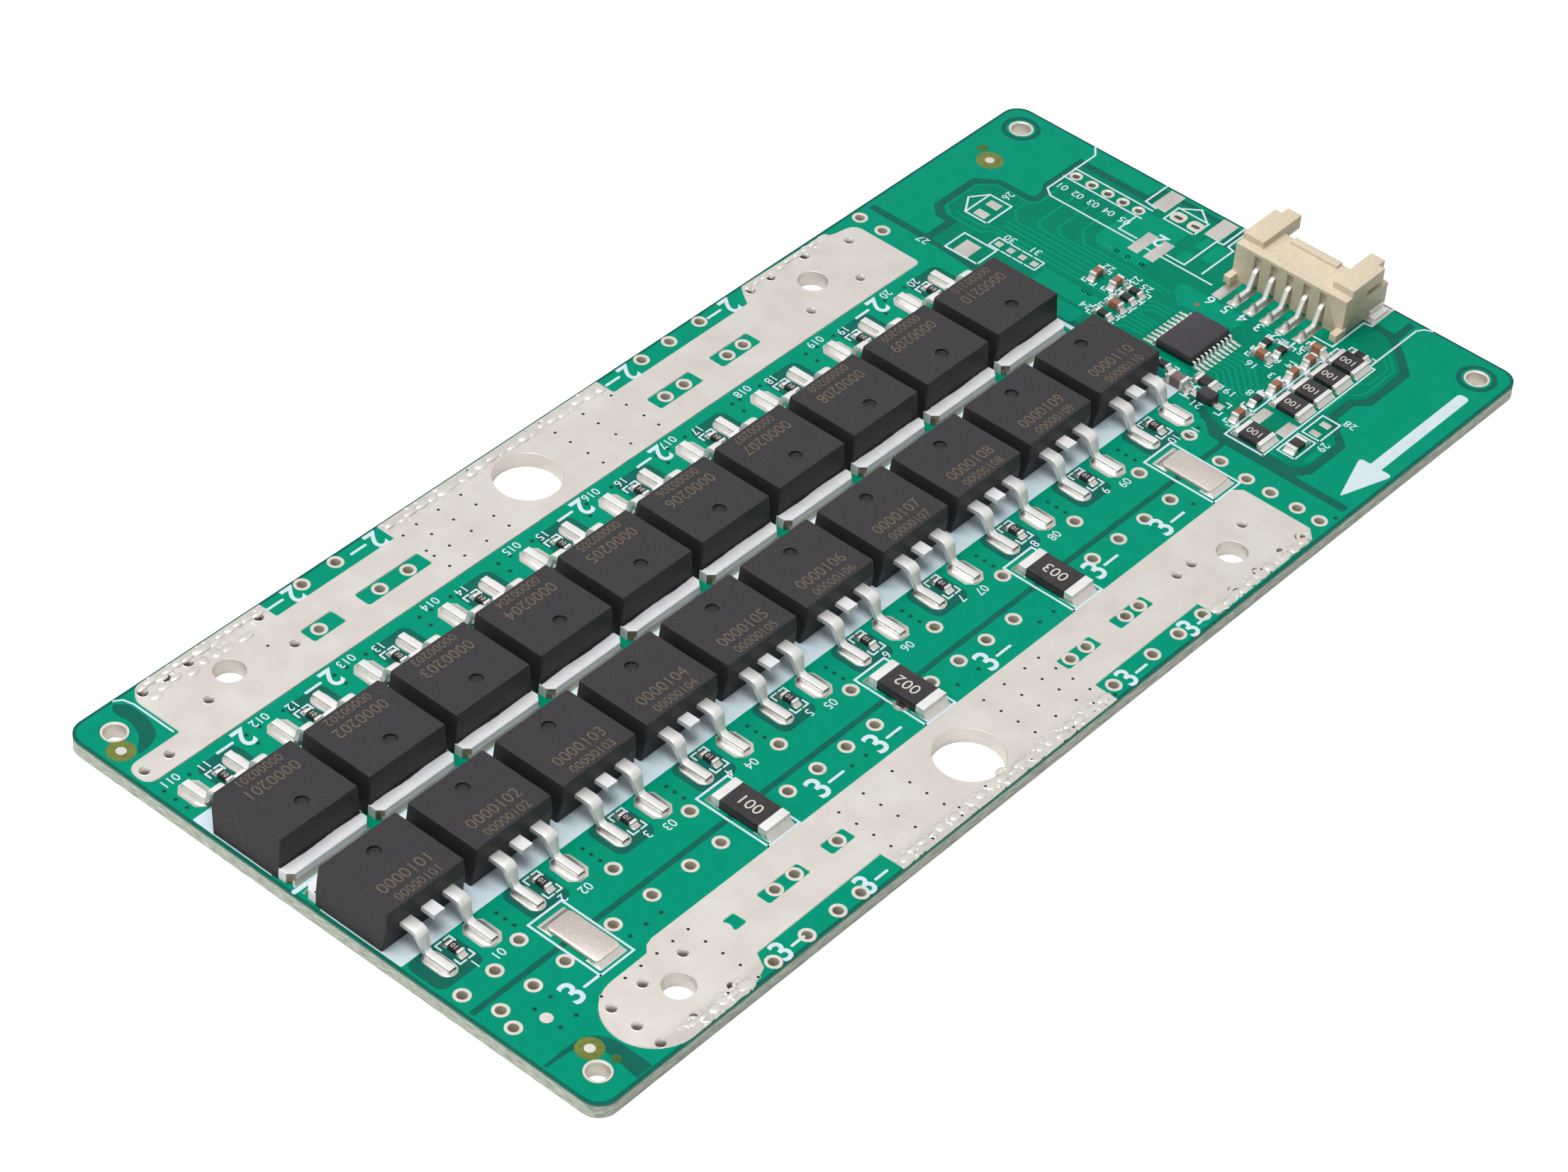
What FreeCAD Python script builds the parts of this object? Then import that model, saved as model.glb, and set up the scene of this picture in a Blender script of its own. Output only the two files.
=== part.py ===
"""Battery management board: twenty tab-mounted power transistors, two terminal strips, a control corner.

Places on the board are dimensioned from the datum, the centre of the corner hole nearest the
battery strip's rounded end. X runs along the board towards the connector, Y from the battery
strip to the pack strip, Z up. The part's own origin is the centre of the board's underside.
"""
import FreeCAD, Part
import math
import os
import re
import Sketcher

Vector = FreeCAD.Vector

# Driving dimensions, in millimetres
SIZES = {
    # Board outline and its holes
    "board_length": 133.35,
    "board_width": 63.5,
    "board_thickness": 1.6,
    "board_corner_radius": 2.0,
    "hole_margin": 3.175,
    "corner_hole_radius": 1.05,
    "lug_hole_radius": 3.4,
    "lug_hole_offset": 12.95,
    "battery_lug_y": 1.9,
    "pack_lug_back": 1.95,
    "wire_hole_radius": 1.53,
    "battery_wire_first_x": 11.76,
    "battery_wire_back": 7.98,
    "battery_wire_y": 1.65,
    "pack_wire_first_x": 12.48,
    "pack_wire_back": 9.99,
    "pack_wire_inset": 1.45,
    # Tinned terminal strips
    "strip_thickness": 0.12,
    "strip_corner_radius": 1.3,
    "battery_strip_start": 3.75,
    "battery_strip_back": 29.9,
    "battery_strip_inner": 7.0,
    "battery_strip_outer": -3.05,
    "battery_bulb_radius": 4.5,
    "battery_bulb_flat": 0.1,
    "battery_step_start": 12.3,
    "battery_step_end": 13.7,
    "pack_strip_start": 3.9,
    "pack_strip_tail": -2.6,
    "pack_strip_back": 24.85,
    "pack_strip_depth": 7.05,
    "pack_strip_step_depth": 4.0,
    "pack_strip_rim": 3.0,
    "pack_shoulder_rim": 1.95,
    "pack_shoulder_length": 3.25,
    "pack_shoulder_slope": 1.7,
    "cut_away_depth": 2.4,
    "battery_neck_x": 19.25,
    "battery_ledge_length": 30.0,
    "battery_ledge_shift": 0.05,
    "battery_tongue_length": 16.05,
    "pack_ear_end": 20.5,
    "pack_ledge_length": 29.95,
    "pack_ledge_shift": 0.075,
    "pack_tongue_length": 17.35,
    # Power devices: place in the two facing rows
    "device_first_x": 2.22,
    "device_pitch": 10.737,
    "case_front_y": 21.6,
    "charge_front_back": 14.65,
    "control_depth": 23.0,
    # Power device case
    "case_length": 8.35,
    "case_height": 4.4,
    "case_foot_width": 9.9,
    "case_top_width": 9.2,
    "case_top_inset": 0.12,
    "case_foot_inset": 0.4,
    "case_parting_height": 2.65,
    "dimple_radius": 0.68,
    "dimple_depth": 0.2,
    "dimple_back": 2.2,
    # Power device tab and leads
    "tab_thickness": 1.27,
    "tab_width": 9.7,
    "tab_reach": 1.38,
    "tab_corner": 0.6,
    "pad_width": 8.0,
    "pad_front": 1.6,
    "stub_length": 1.5,
    "lead_pitch": 2.54,
    "lead_thickness": 0.5,
    "lead_width": 1.3,
    "foot_width": 0.8,
    "lead_height": 2.6,
    "lead_shoulder": 1.75,
    "lead_lean": 0.75,
    "lead_length": 5.5,
    "lead_bend": 0.45,
    "lead_taper_top": 1.75,
    "lead_taper_foot": 1.05,
    # Current sense parts
    "sense_first_x": 10.15,
    "sense_pitch": 21.37,
    "sense_y": 11.0,
    "sense_strip_length": 5.95,
    "sense_strip_width": 3.0,
    "sense_strip_thickness": 0.45,
    "sense_resistor_length": 6.35,
    "sense_resistor_width": 3.2,
    "sense_resistor_height": 1.0,
    "sense_resistor_end": 0.95,
    # Small chips: length, width, height and end length of each size
    "small_length": 1.6,
    "small_width": 0.8,
    "small_height": 0.45,
    "small_end": 0.3,
    "medium_length": 2.0,
    "medium_width": 1.25,
    "medium_height": 0.5,
    "medium_end": 0.4,
    "balance_length": 3.2,
    "balance_width": 2.5,
    "balance_height": 0.55,
    "balance_end": 0.5,
    "capacitor_height": 0.8,
    "large_capacitor_height": 1.1,
    "coating_step": 0.02,
    "gate_resistor_x": -0.47,
    "gate_resistor_y": -3.75,
    "balance_back": 22.8,
    "balance_pitch": 3.07,
    "balance_y": 10.2,
    # Control chip
    "controller_back": 15.5,
    "controller_y": 23.25,
    "controller_length": 6.5,
    "controller_width": 4.4,
    "controller_height": 1.0,
    "controller_standoff": 0.1,
    "controller_lean": 0.12,
    "controller_lead_pitch": 0.65,
    "controller_lead_count": 10,
    "controller_lead_width": 0.26,
    "controller_lead_thickness": 0.15,
    "controller_lead_height": 0.62,
    "controller_lead_reach": 1.0,
    "controller_lead_foot": 0.55,
    "controller_lead_lean": 0.1,
    # Two-lead diode
    "diode_back": 21.7,
    "diode_y": 16.8,
    "diode_length": 1.8,
    "diode_width": 1.3,
    "diode_height": 0.95,
    "diode_lead_width": 0.35,
    "diode_lead_thickness": 0.12,
    "diode_lead_reach": 0.4,
    # Side-entry connector
    "connector_back": 4.35,
    "connector_y": 20.05,
    "housing_width": 13.5,
    "housing_depth": 7.45,
    "housing_height": 4.35,
    "housing_wall": 1.1,
    "roof_depth": 4.75,
    "arm_back": 1.0,
    "arm_width": 2.5,
    "arm_rise": 0.8,
    "arm_notch_depth": 1.1,
    "arm_notch_width": 0.8,
    "cavity_bottom": 1.0,
    "cavity_top": 3.5,
    "side_slot_bottom": 2.9,
    "side_slot_height": 0.8,
    "side_slot_length": 3.8,
    "latch_lip_length": 5.7,
    "latch_lip_depth": 1.0,
    "latch_lip_rise": 0.35,
    "latch_lip_setback": 0.1,
    "contact_count": 5,
    "contact_pitch": 2.0,
    "contact_size": 0.5,
    "contact_height": 2.55,
    "contact_groove_width": 0.8,
    "contact_groove_depth": 0.45,
    "contact_groove_top": 3.9,
    "contact_shoulder": 0.25,
    "contact_lean": 0.75,
    "contact_foot": 3.05,
    "contact_tip": 5.2,
    "contact_bend": 0.3,
    "peg_width": 0.8,
    "peg_height": 0.9,
    "peg_length": 1.2,
    "peg_outset": 0.15,
    "anchor_setback": 0.5,
    "anchor_length": 2.4,
    "anchor_reach": 0.9,
    "anchor_thickness": 0.25,
    "anchor_rise": 0.8,
}

# Sizes that follow from the driving ones
FOLLOWING = {
    "hole_span_x": "board_length - 2 * hole_margin",
    "hole_span_y": "board_width - 2 * hole_margin",
    # Lug holes, wire holes and strips
    "lug_hole_x": "hole_span_x / 2 - lug_hole_offset",
    "pack_lug_y": "hole_span_y - pack_lug_back",
    "battery_strip_end": "hole_span_x - battery_strip_back",
    "battery_wire_last_x": "battery_strip_end - battery_wire_back",
    "battery_ledge_start": "lug_hole_x + battery_ledge_shift - battery_ledge_length / 2",
    "battery_ledge_end": "battery_ledge_start + battery_ledge_length",
    "battery_tongue_x": "battery_strip_end - battery_tongue_length",
    "pack_strip_end": "hole_span_x - pack_strip_back",
    "pack_wire_last_x": "pack_strip_end - pack_wire_back",
    "pack_wire_y": "hole_span_y - pack_wire_inset",
    "pack_strip_inner": "hole_span_y - pack_strip_depth",
    "pack_strip_step": "hole_span_y - pack_strip_step_depth",
    "pack_strip_outer": "hole_span_y + pack_strip_rim",
    "pack_strip_shoulder": "hole_span_y + pack_shoulder_rim",
    "pack_ledge_start": "lug_hole_x - pack_ledge_shift - pack_ledge_length / 2",
    "pack_ledge_end": "pack_ledge_start + pack_ledge_length",
    "pack_tongue_x": "pack_strip_end - pack_tongue_length",
    # Rows of devices: as many in a row as end before the control corner, and two rows where both fit
    "charge_front_y": "hole_span_y - charge_front_back",
    "row_mirror_y": "(case_front_y + charge_front_y) / 2",
    "row_end_x": "hole_span_x - control_depth - case_foot_width / 2",
    "device_count": "floor((row_end_x - device_first_x) / device_pitch) + 1",
    "row_count": "min(2; floor((charge_front_y - case_front_y) / (case_length + tab_reach)))",
    "sense_count": "floor((battery_strip_end - sense_first_x) / sense_pitch) + 1",
    # Control corner
    "balance_first_x": "hole_span_x - balance_back",
    "controller_x": "hole_span_x - controller_back",
    "diode_x": "hole_span_x - diode_back",
    "connector_back_x": "hole_span_x - connector_back",
}

doc = FreeCAD.newDocument("battery_management_board")
sheet = doc.addObject("Spreadsheet::Sheet", "Sizes")
for row, (alias, value) in enumerate((SIZES | FOLLOWING).items(), start=1):
    sheet.set("A%d" % row, alias)
    sheet.set("B%d" % row, "=" + value if alias in FOLLOWING else str(value))
    sheet.setAlias("B%d" % row, alias)
doc.recompute()


# Reading and binding the sheet

def bound(text):
    """The expression with each alias written as a cell of the sheet."""
    names = SIZES | FOLLOWING
    return re.sub(r"[a-z_]+", lambda word: "Sizes." + word[0] if word[0] in names else word[0], str(text))


def number(text):
    """The value that the expression has now."""
    return float(sheet.evalExpression(bound(text)))


def bind(thing, **properties):
    """Ties each named property of a document object to its expression."""
    for name, text in properties.items():
        thing.setExpression(name, bound(text))


def place(thing, across, along, up="board_thickness", turn=0):
    """Puts an object at a place measured from the datum hole, turned about Z by whole degrees."""
    thing.Placement = FreeCAD.Placement(Vector(), FreeCAD.Rotation(Vector(0, 0, 1), turn))
    thing.setExpression(".Placement.Base.x", bound("%s - hole_span_x / 2" % across))
    thing.setExpression(".Placement.Base.y", bound("%s - hole_span_y / 2" % along))
    thing.setExpression(".Placement.Base.z", bound(up))


# Sketches and features

def new_body(label):
    body = doc.addObject("PartDesign::Body", label)
    body.Label = label
    return body


def origin_part(body, role):
    return next(item for item in body.Origin.OriginFeatures if item.Role == role)


def new_sketch(body, plane="XY_Plane", up="0"):
    """A sketch on one of the body's origin planes, raised along that plane's normal."""
    sketch = body.newObject("Sketcher::SketchObject", body.Label + "_sketch")
    sketch.AttachmentSupport = [(origin_part(body, plane), "")]
    sketch.MapMode = "FlatFace"
    sketch.setExpression(".AttachmentOffset.Base.z", bound(up))
    return sketch


def bind_point(sketch, shape, corner, across, along):
    for kind, text in (("DistanceX", across), ("DistanceY", along)):
        index = sketch.addConstraint(Sketcher.Constraint(kind, shape, corner, number(text)))
        sketch.setExpression("Constraints[%d]" % index, bound(text))


def circle(sketch, across, along, radius):
    """A full circle with its centre and radius bound."""
    centre = Vector(number(across), number(along), 0)
    shape = sketch.addGeometry(Part.Circle(centre, Vector(0, 0, 1), number(radius)), False)
    bind_point(sketch, shape, 3, across, along)
    index = sketch.addConstraint(Sketcher.Constraint("Radius", shape, number(radius)))
    sketch.setExpression("Constraints[%d]" % index, bound(radius))


def rounded_corner(before, corner, after, radius):
    """The arc that rounds a corner: its geometry, tangent points, and which end meets the line before."""
    back = (before - corner).normalize()
    on = (after - corner).normalize()
    half = back.getAngle(on) / 2
    start = corner + back * (radius / math.tan(half))
    end = corner + on * (radius / math.tan(half))
    centre = corner + (back + on).normalize() * (radius / math.sin(half))
    first = math.atan2(start.y - centre.y, start.x - centre.x)
    last = math.atan2(end.y - centre.y, end.x - centre.x)
    left_turn = (corner - before).cross(after - corner).z > 0
    if not left_turn:
        first, last = last, first
    arc = Part.ArcOfCircle(Part.Circle(centre, Vector(0, 0, 1), radius), first, last)
    return arc, start, end, left_turn


def outline(sketch, corners):
    """A closed outline through corners (across, along) or (across, along, radius), each an expression."""
    points = [Vector(number(corner[0]), number(corner[1]), 0) for corner in corners]
    count = len(points)
    enter = list(points)
    leave = list(points)
    arcs = {}
    for i, corner in enumerate(corners):
        if len(corner) == 3:
            arc, enter[i], leave[i], left_turn = rounded_corner(
                points[i - 1], points[i], points[(i + 1) % count], number(corner[2]))
            arcs[i] = (sketch.addGeometry(arc, False), left_turn)
    lines = []
    for i in range(count):
        lines.append(sketch.addGeometry(Part.LineSegment(leave[i], enter[(i + 1) % count]), False))
    for i, corner in enumerate(corners):
        if i not in arcs:
            sketch.addConstraint(Sketcher.Constraint("Coincident", lines[i - 1], 2, lines[i], 1))
            bind_point(sketch, lines[i], 1, corner[0], corner[1])
            continue
        arc, left_turn = arcs[i]
        near, far = (1, 2) if left_turn else (2, 1)
        sketch.addConstraint(Sketcher.Constraint("Tangent", lines[i - 1], 2, arc, near))
        sketch.addConstraint(Sketcher.Constraint("Tangent", lines[i], 1, arc, far))
        index = sketch.addConstraint(Sketcher.Constraint("Radius", arc, number(corner[2])))
        sketch.setExpression("Constraints[%d]" % index, bound(corner[2]))
        tip = sketch.addGeometry(Part.Point(points[i]), True)
        sketch.addConstraint(Sketcher.Constraint("PointOnObject", tip, 1, lines[i - 1]))
        sketch.addConstraint(Sketcher.Constraint("PointOnObject", tip, 1, lines[i]))
        bind_point(sketch, tip, 1, corner[0], corner[1])


def rectangle(sketch, left, right, low, high, radius=None):
    """An upright rectangle between two sides and two levels, with corners rounded if a radius is given."""
    corners = [(left, low), (right, low), (right, high), (left, high)]
    if radius:
        corners = [corner + (radius,) for corner in corners]
    outline(sketch, corners)


def feature(body, kind, sketch, length, symmetric=False, reversed_way=False):
    """A Pad or Pocket of the sketch, as long as the expression says."""
    made = body.newObject("PartDesign::" + kind, body.Label + "_" + kind.lower())
    made.Profile = sketch
    bind(made, Length=length)
    if symmetric:
        made.SideType = "Symmetric"
    made.Reversed = reversed_way
    sketch.Visibility = False
    return made


def row_pattern(body, base, axis, pitch, count):
    """Copies of a feature in a row along one of the body's axes."""
    row = body.newObject("PartDesign::LinearPattern", body.Label + "_row")
    row.Originals = [base]
    row.Refine = False
    row.Direction = (origin_part(body, axis), [""])
    bind(row, Length="%s * (%s - 1)" % (pitch, count), Occurrences=count)
    body.Tip = row


def group(label, members):
    """Separate solids that share one node."""
    made = doc.addObject("Part::Compound", label)
    made.Label = label
    made.Links = members
    return made


def box(name, across, along, up, length, width, height):
    """A box centred on a place measured from the datum hole, standing at a height."""
    made = doc.addObject("Part::Box", name)
    bind(made, Length=length, Width=width, Height=height)
    place(made, "%s - (%s) / 2" % (across, length), "%s - (%s) / 2" % (along, width), up)
    return made


# Circuit board

BOARD_HOLES = (
    ("0", "0", "corner_hole_radius"),
    ("hole_span_x", "0", "corner_hole_radius"),
    ("0", "hole_span_y", "corner_hole_radius"),
    ("hole_span_x", "hole_span_y", "corner_hole_radius"),
    ("lug_hole_x", "battery_lug_y", "lug_hole_radius"),
    ("lug_hole_x", "pack_lug_y", "lug_hole_radius"),
    ("battery_wire_first_x", "battery_wire_y", "wire_hole_radius"),
    ("battery_wire_last_x", "battery_wire_y", "wire_hole_radius"),
    ("pack_wire_first_x", "pack_wire_y", "wire_hole_radius"),
    ("pack_wire_last_x", "pack_wire_y", "wire_hole_radius"),
)
BATTERY_STRIP_HOLES = BOARD_HOLES[4:5] + BOARD_HOLES[6:8]
PACK_STRIP_HOLES = BOARD_HOLES[5:6] + BOARD_HOLES[8:10]


def circuit_board():
    """Laminate board with rounded corners and its mounting, lug and wire holes."""
    body = new_body("circuit_board")
    sketch = new_sketch(body)
    rectangle(sketch, "-hole_margin", "hole_span_x + hole_margin", "-hole_margin", "hole_span_y + hole_margin",
              "board_corner_radius")
    for hole in BOARD_HOLES:
        circle(sketch, *hole)
    feature(body, "Pad", sketch, "board_thickness")
    place(body, "0", "0", "0")
    return body


# Terminal strips

def strip(label, corners, holes):
    """A flat tinned strip on the board, pierced where the board is."""
    body = new_body(label)
    sketch = new_sketch(body)
    outline(sketch, corners)
    for hole in holes:
        circle(sketch, *hole)
    feature(body, "Pad", sketch, "strip_thickness")
    place(body, "0", "0")
    return body


def battery_terminal_strip():
    """Battery side strip: a round end, a step in its inner edge and two shallow cut-aways outside."""
    shallow = "battery_strip_outer + cut_away_depth"
    bulb_top = "battery_strip_outer + 2 * battery_bulb_radius + battery_bulb_flat"
    corners = [
        ("battery_strip_start", "battery_strip_outer", "battery_bulb_radius"),
        ("battery_neck_x - cut_away_depth", "battery_strip_outer"),
        ("battery_neck_x", shallow),
        ("battery_ledge_start", shallow),
        ("battery_ledge_start", "battery_strip_outer"),
        ("battery_ledge_end", "battery_strip_outer"),
        ("battery_ledge_end", shallow),
        ("battery_tongue_x", shallow),
        ("battery_tongue_x", "battery_strip_outer"),
        ("battery_strip_end", "battery_strip_outer"),
        ("battery_strip_end", "battery_strip_inner"),
        ("battery_step_end", "battery_strip_inner"),
        ("battery_step_start", bulb_top),
        ("battery_strip_start", bulb_top, "battery_bulb_radius"),
    ]
    return strip("terminal_strip_battery", corners, BATTERY_STRIP_HOLES)


def pack_terminal_strip():
    """Pack side strip: a narrow tail past the corner hole and two shallow cut-aways outside."""
    shallow = "pack_strip_outer - cut_away_depth"
    round_end = "strip_corner_radius"
    corners = [
        ("pack_strip_tail", "pack_strip_inner", round_end),
        ("pack_strip_end", "pack_strip_inner", round_end),
        ("pack_strip_end", "pack_strip_shoulder", round_end),
        ("pack_strip_end - pack_shoulder_length", "pack_strip_shoulder"),
        ("pack_strip_end - pack_shoulder_length - pack_shoulder_slope", "pack_strip_outer"),
        ("pack_tongue_x + cut_away_depth / 2", "pack_strip_outer"),
        ("pack_tongue_x", shallow),
        ("pack_ledge_end", shallow),
        ("pack_ledge_end", "pack_strip_outer"),
        ("pack_ledge_start", "pack_strip_outer"),
        ("pack_ledge_start", shallow),
        ("pack_ear_end", shallow),
        ("pack_ear_end", "pack_strip_outer"),
        ("pack_strip_start", "pack_strip_outer"),
        ("pack_strip_start", "pack_strip_step"),
        ("pack_strip_tail", "pack_strip_step", round_end),
    ]
    return strip("terminal_strip_pack", corners, PACK_STRIP_HOLES)


# Power devices. In a device's own frame the origin is on the board, at the middle of the case's
# lead side: X runs across the leads, and Y runs from the lead side to the tab.

def place_device(thing, row, index="0"):
    """Puts a device's piece in its row: the charge row faces the discharge row, turned half round."""
    across = "(device_first_x + %s * device_pitch)" % index
    if row == "discharge":
        place(thing, across, "case_front_y")
    else:
        place(thing, across, "charge_front_y", turn=180)


def pad_plan(body):
    """Plan of the tab: a pad under the case and a wider end with clipped corners behind it."""
    sketch = new_sketch(body)
    half_tab = "tab_width / 2"
    half_pad = "pad_width / 2"
    end = "case_length + tab_reach"
    outline(sketch, [
        ("-" + half_pad, "pad_front"), (half_pad, "pad_front"), (half_pad, "case_length"),
        (half_tab, "case_length"), (half_tab, end + " - tab_corner"), (half_tab + " - tab_corner", end),
        ("-(%s - tab_corner)" % half_tab, end), ("-(%s)" % half_tab, end + " - tab_corner"),
        ("-(%s)" % half_tab, "case_length"), ("-(%s)" % half_pad, "case_length")])
    return sketch


def stub_side(body):
    """Side view of the cut-off middle lead, which rises from the pad inside the case."""
    sketch = new_sketch(body, "YZ_Plane")
    low = "lead_height - lead_thickness"
    outline(sketch, [
        ("-stub_length", low), ("pad_front", low), ("pad_front", "0"),
        ("pad_front + lead_thickness", "0"), ("pad_front + lead_thickness", "lead_height"),
        ("-stub_length", "lead_height")])
    return sketch


def device_tab(label, row, index):
    """Copper tab and middle lead of one power device, a single stamped piece."""
    body = new_body(label)
    feature(body, "Pad", pad_plan(body), "tab_thickness")
    feature(body, "Pad", stub_side(body), "lead_width", symmetric=True)
    place_device(body, row, index)
    return body


def device_case(label, row, index):
    """Moulded case: side view drawn out to full width, then drafted, pocketed for metal and dimpled."""
    body = new_body(label)
    side = new_sketch(body, "YZ_Plane")
    outline(side, [
        ("case_foot_inset", "0"), ("case_length", "0"), ("case_length", "tab_thickness"),
        ("case_length - case_top_inset", "case_height"), ("case_top_inset", "case_height"),
        ("0", "case_parting_height")])
    feature(body, "Pad", side, "case_foot_width", symmetric=True)
    flanks = new_sketch(body, "XZ_Plane")
    for sign in ("", "-"):
        outline(flanks, [
            (sign + "case_foot_width / 2", "0"), (sign + "case_foot_width / 2", "case_height"),
            (sign + "case_top_width / 2", "case_height")])
    feature(body, "Pocket", flanks, "4 * case_length", symmetric=True)
    feature(body, "Pocket", pad_plan(body), "tab_thickness", reversed_way=True)
    feature(body, "Pocket", stub_side(body), "lead_width", symmetric=True)
    dimple = new_sketch(body, up="case_height")
    circle(dimple, "0", "case_length - case_top_inset - dimple_back", "dimple_radius")
    feature(body, "Pocket", dimple, "dimple_depth")
    place_device(body, row, index)
    return body


def bent_lead_side(body, roots, shoulder, lean, length, height, thickness, bend, plane="YZ_Plane"):
    """Side view of a lead that leaves level, bends over, leans down and runs out level. The roots are
    where its upper and lower faces start."""
    sketch = new_sketch(body, plane)
    under = "(%s - %s)" % (height, thickness)
    per_height = "(%s / %s)" % (lean, under)
    slant = "(%s * sqrt(1 + %s^2))" % (thickness, per_height)
    knee = "-%s" % shoulder
    heel = "-(%s + %s)" % (shoulder, lean)
    outline(sketch, [
        (roots[0], height),
        ("%s + %s" % (knee, bend), height),
        ("%s - %s * %s" % (knee, per_height, bend), "%s - %s" % (height, bend)),
        (heel, thickness),
        ("-" + length, thickness),
        ("-" + length, "0"),
        ("%s + %s - %s * %s" % (heel, slant, per_height, thickness), "0"),
        ("%s + %s - %s * %s" % (knee, slant, per_height, thickness), under),
        (roots[1], under)])
    return sketch


def case_face(height):
    """Where the leaning lead side of the case is at a height under its parting line."""
    return "(case_foot_inset * (case_parting_height - (%s)) / case_parting_height)" % height


def device_leads(row):
    """The two bent outer leads of each device in a row, wide at the shoulder and narrow at the foot."""
    body = new_body(row + "_leads")
    roots = (case_face("lead_height"), case_face("lead_height - lead_thickness"))
    side = bent_lead_side(body, roots, "lead_shoulder", "lead_lean", "lead_length", "lead_height",
                          "lead_thickness", "lead_bend")
    blank = feature(body, "Pad", side, "lead_width", symmetric=True)
    trim = new_sketch(body, "XZ_Plane")
    for sign in ("", "-"):
        outline(trim, [
            (sign + "lead_width / 2", "lead_taper_top"), (sign + "foot_width / 2", "lead_taper_foot"),
            (sign + "foot_width / 2", "-lead_thickness"), (sign + "lead_width / 2", "-lead_thickness")])
    cut = feature(body, "Pocket", trim, "3 * lead_length", symmetric=True)
    spread = body.newObject("PartDesign::MultiTransform", row + "_lead_pattern")
    spread.Originals = [blank, cut]
    spread.Refine = False
    pair = body.newObject("PartDesign::LinearPattern", row + "_lead_pair")
    pair.Direction = (origin_part(body, "X_Axis"), [""])
    bind(pair, Length="2 * lead_pitch")
    pair.Occurrences = 2
    devices = body.newObject("PartDesign::LinearPattern", row + "_lead_devices")
    devices.Direction = (origin_part(body, "X_Axis"), [""])
    bind(devices, Length="device_pitch * (device_count - 1)", Occurrences="device_count")
    spread.Transformations = [pair, devices]
    body.Tip = spread
    place_device(body, row)
    first = "device_first_x - lead_pitch"
    if row == "charge":
        first = "device_first_x + device_pitch * (device_count - 1) + lead_pitch"
    body.setExpression(".Placement.Base.x", bound(first + " - hole_span_x / 2"))
    return body


# Current sense parts

def sense_x(index):
    return "(sense_first_x + %d * sense_pitch)" % index


def sense_strips():
    """Bare alloy strips at the first and last of the sense places."""
    strips = []
    for index in (0, int(number("sense_count")) - 1):
        body = new_body("sense_strip_%d" % index)
        sketch = new_sketch(body)
        rectangle(sketch, "-sense_strip_width / 2", "sense_strip_width / 2", "-sense_strip_length / 2",
                  "sense_strip_length / 2")
        feature(body, "Pad", sketch, "sense_strip_thickness")
        place(body, sense_x(index), "sense_y")
        strips.append(body)
    return group("sense_strips", strips)


# Chip parts: a coated body between two metal ends

def chip(name, across, along, size, height, end, lengthways):
    """One chip part at a place; its long side runs along X if lengthways, or else along Y."""
    length, width = size
    middle = "(%s - 2 * %s)" % (length, end)
    step = "((%s + %s) / 2)" % (middle, end)
    up = "board_thickness"
    ends = []
    if lengthways:
        body = box(name + "_body", across, along, up, middle, width + " - 2 * coating_step",
                   height + " - coating_step")
        for tag, sign in (("low", "-"), ("high", "+")):
            place_along = "%s %s %s" % (across, sign, step)
            ends.append(box(name + "_end_" + tag, place_along, along, up, end, width, height))
    else:
        body = box(name + "_body", across, along, up, width + " - 2 * coating_step", middle,
                   height + " - coating_step")
        for tag, sign in (("low", "-"), ("high", "+")):
            place_along = "%s %s %s" % (along, sign, step)
            ends.append(box(name + "_end_" + tag, across, place_along, up, width, end, height))
    return body, ends


def chip_groups(label, chips):
    """Groups the bodies and the ends of many chips in two nodes."""
    bodies = [body for body, ends in chips]
    ends = [end for body, pair in chips for end in pair]
    return [group(label + "_bodies", bodies), group(label + "_ends", ends)]


SMALL = ("small_length", "small_width")
MEDIUM = ("medium_length", "medium_width")
BALANCE = ("balance_length", "balance_width")
SENSE = ("sense_resistor_length", "sense_resistor_width")


# Places of the control corner's chips: how far back from the far holes, how far up from the datum,
# and whether the long side runs along X
SMALL_RESISTORS = (
    (18.3, 13.3, True), (5.6, 10.1, False), (10.6, 17.85, True), (10.5, 16.1, True), (20.5, 23.1, False),
    (18.4, 32.1, False), (14.8, 32.0, False), (13.4, 32.0, False))
MEDIUM_RESISTORS = ((21.1, 6.5, True), (19.7, 18.4, False))
SMALL_CAPACITORS = (
    (21.5, 13.1, True), (15.5, 13.1, True), (12.65, 13.1, True), (9.9, 13.1, True), (7.9, 13.6, False),
    (12.5, 17.0, False), (16.6, 32.0, False), (13.9, 36.4, True), (13.7, 34.1, True))
LARGE_CAPACITOR = (21.8, 20.3, False)


def sense_resistors():
    return chip_groups("sense_resistor", [
        chip("sense_resistor_%d" % index, sense_x(index), "sense_y", SENSE, "sense_resistor_height",
             "sense_resistor_end", False)
        for index in range(1, int(number("sense_count")) - 1)])


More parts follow.
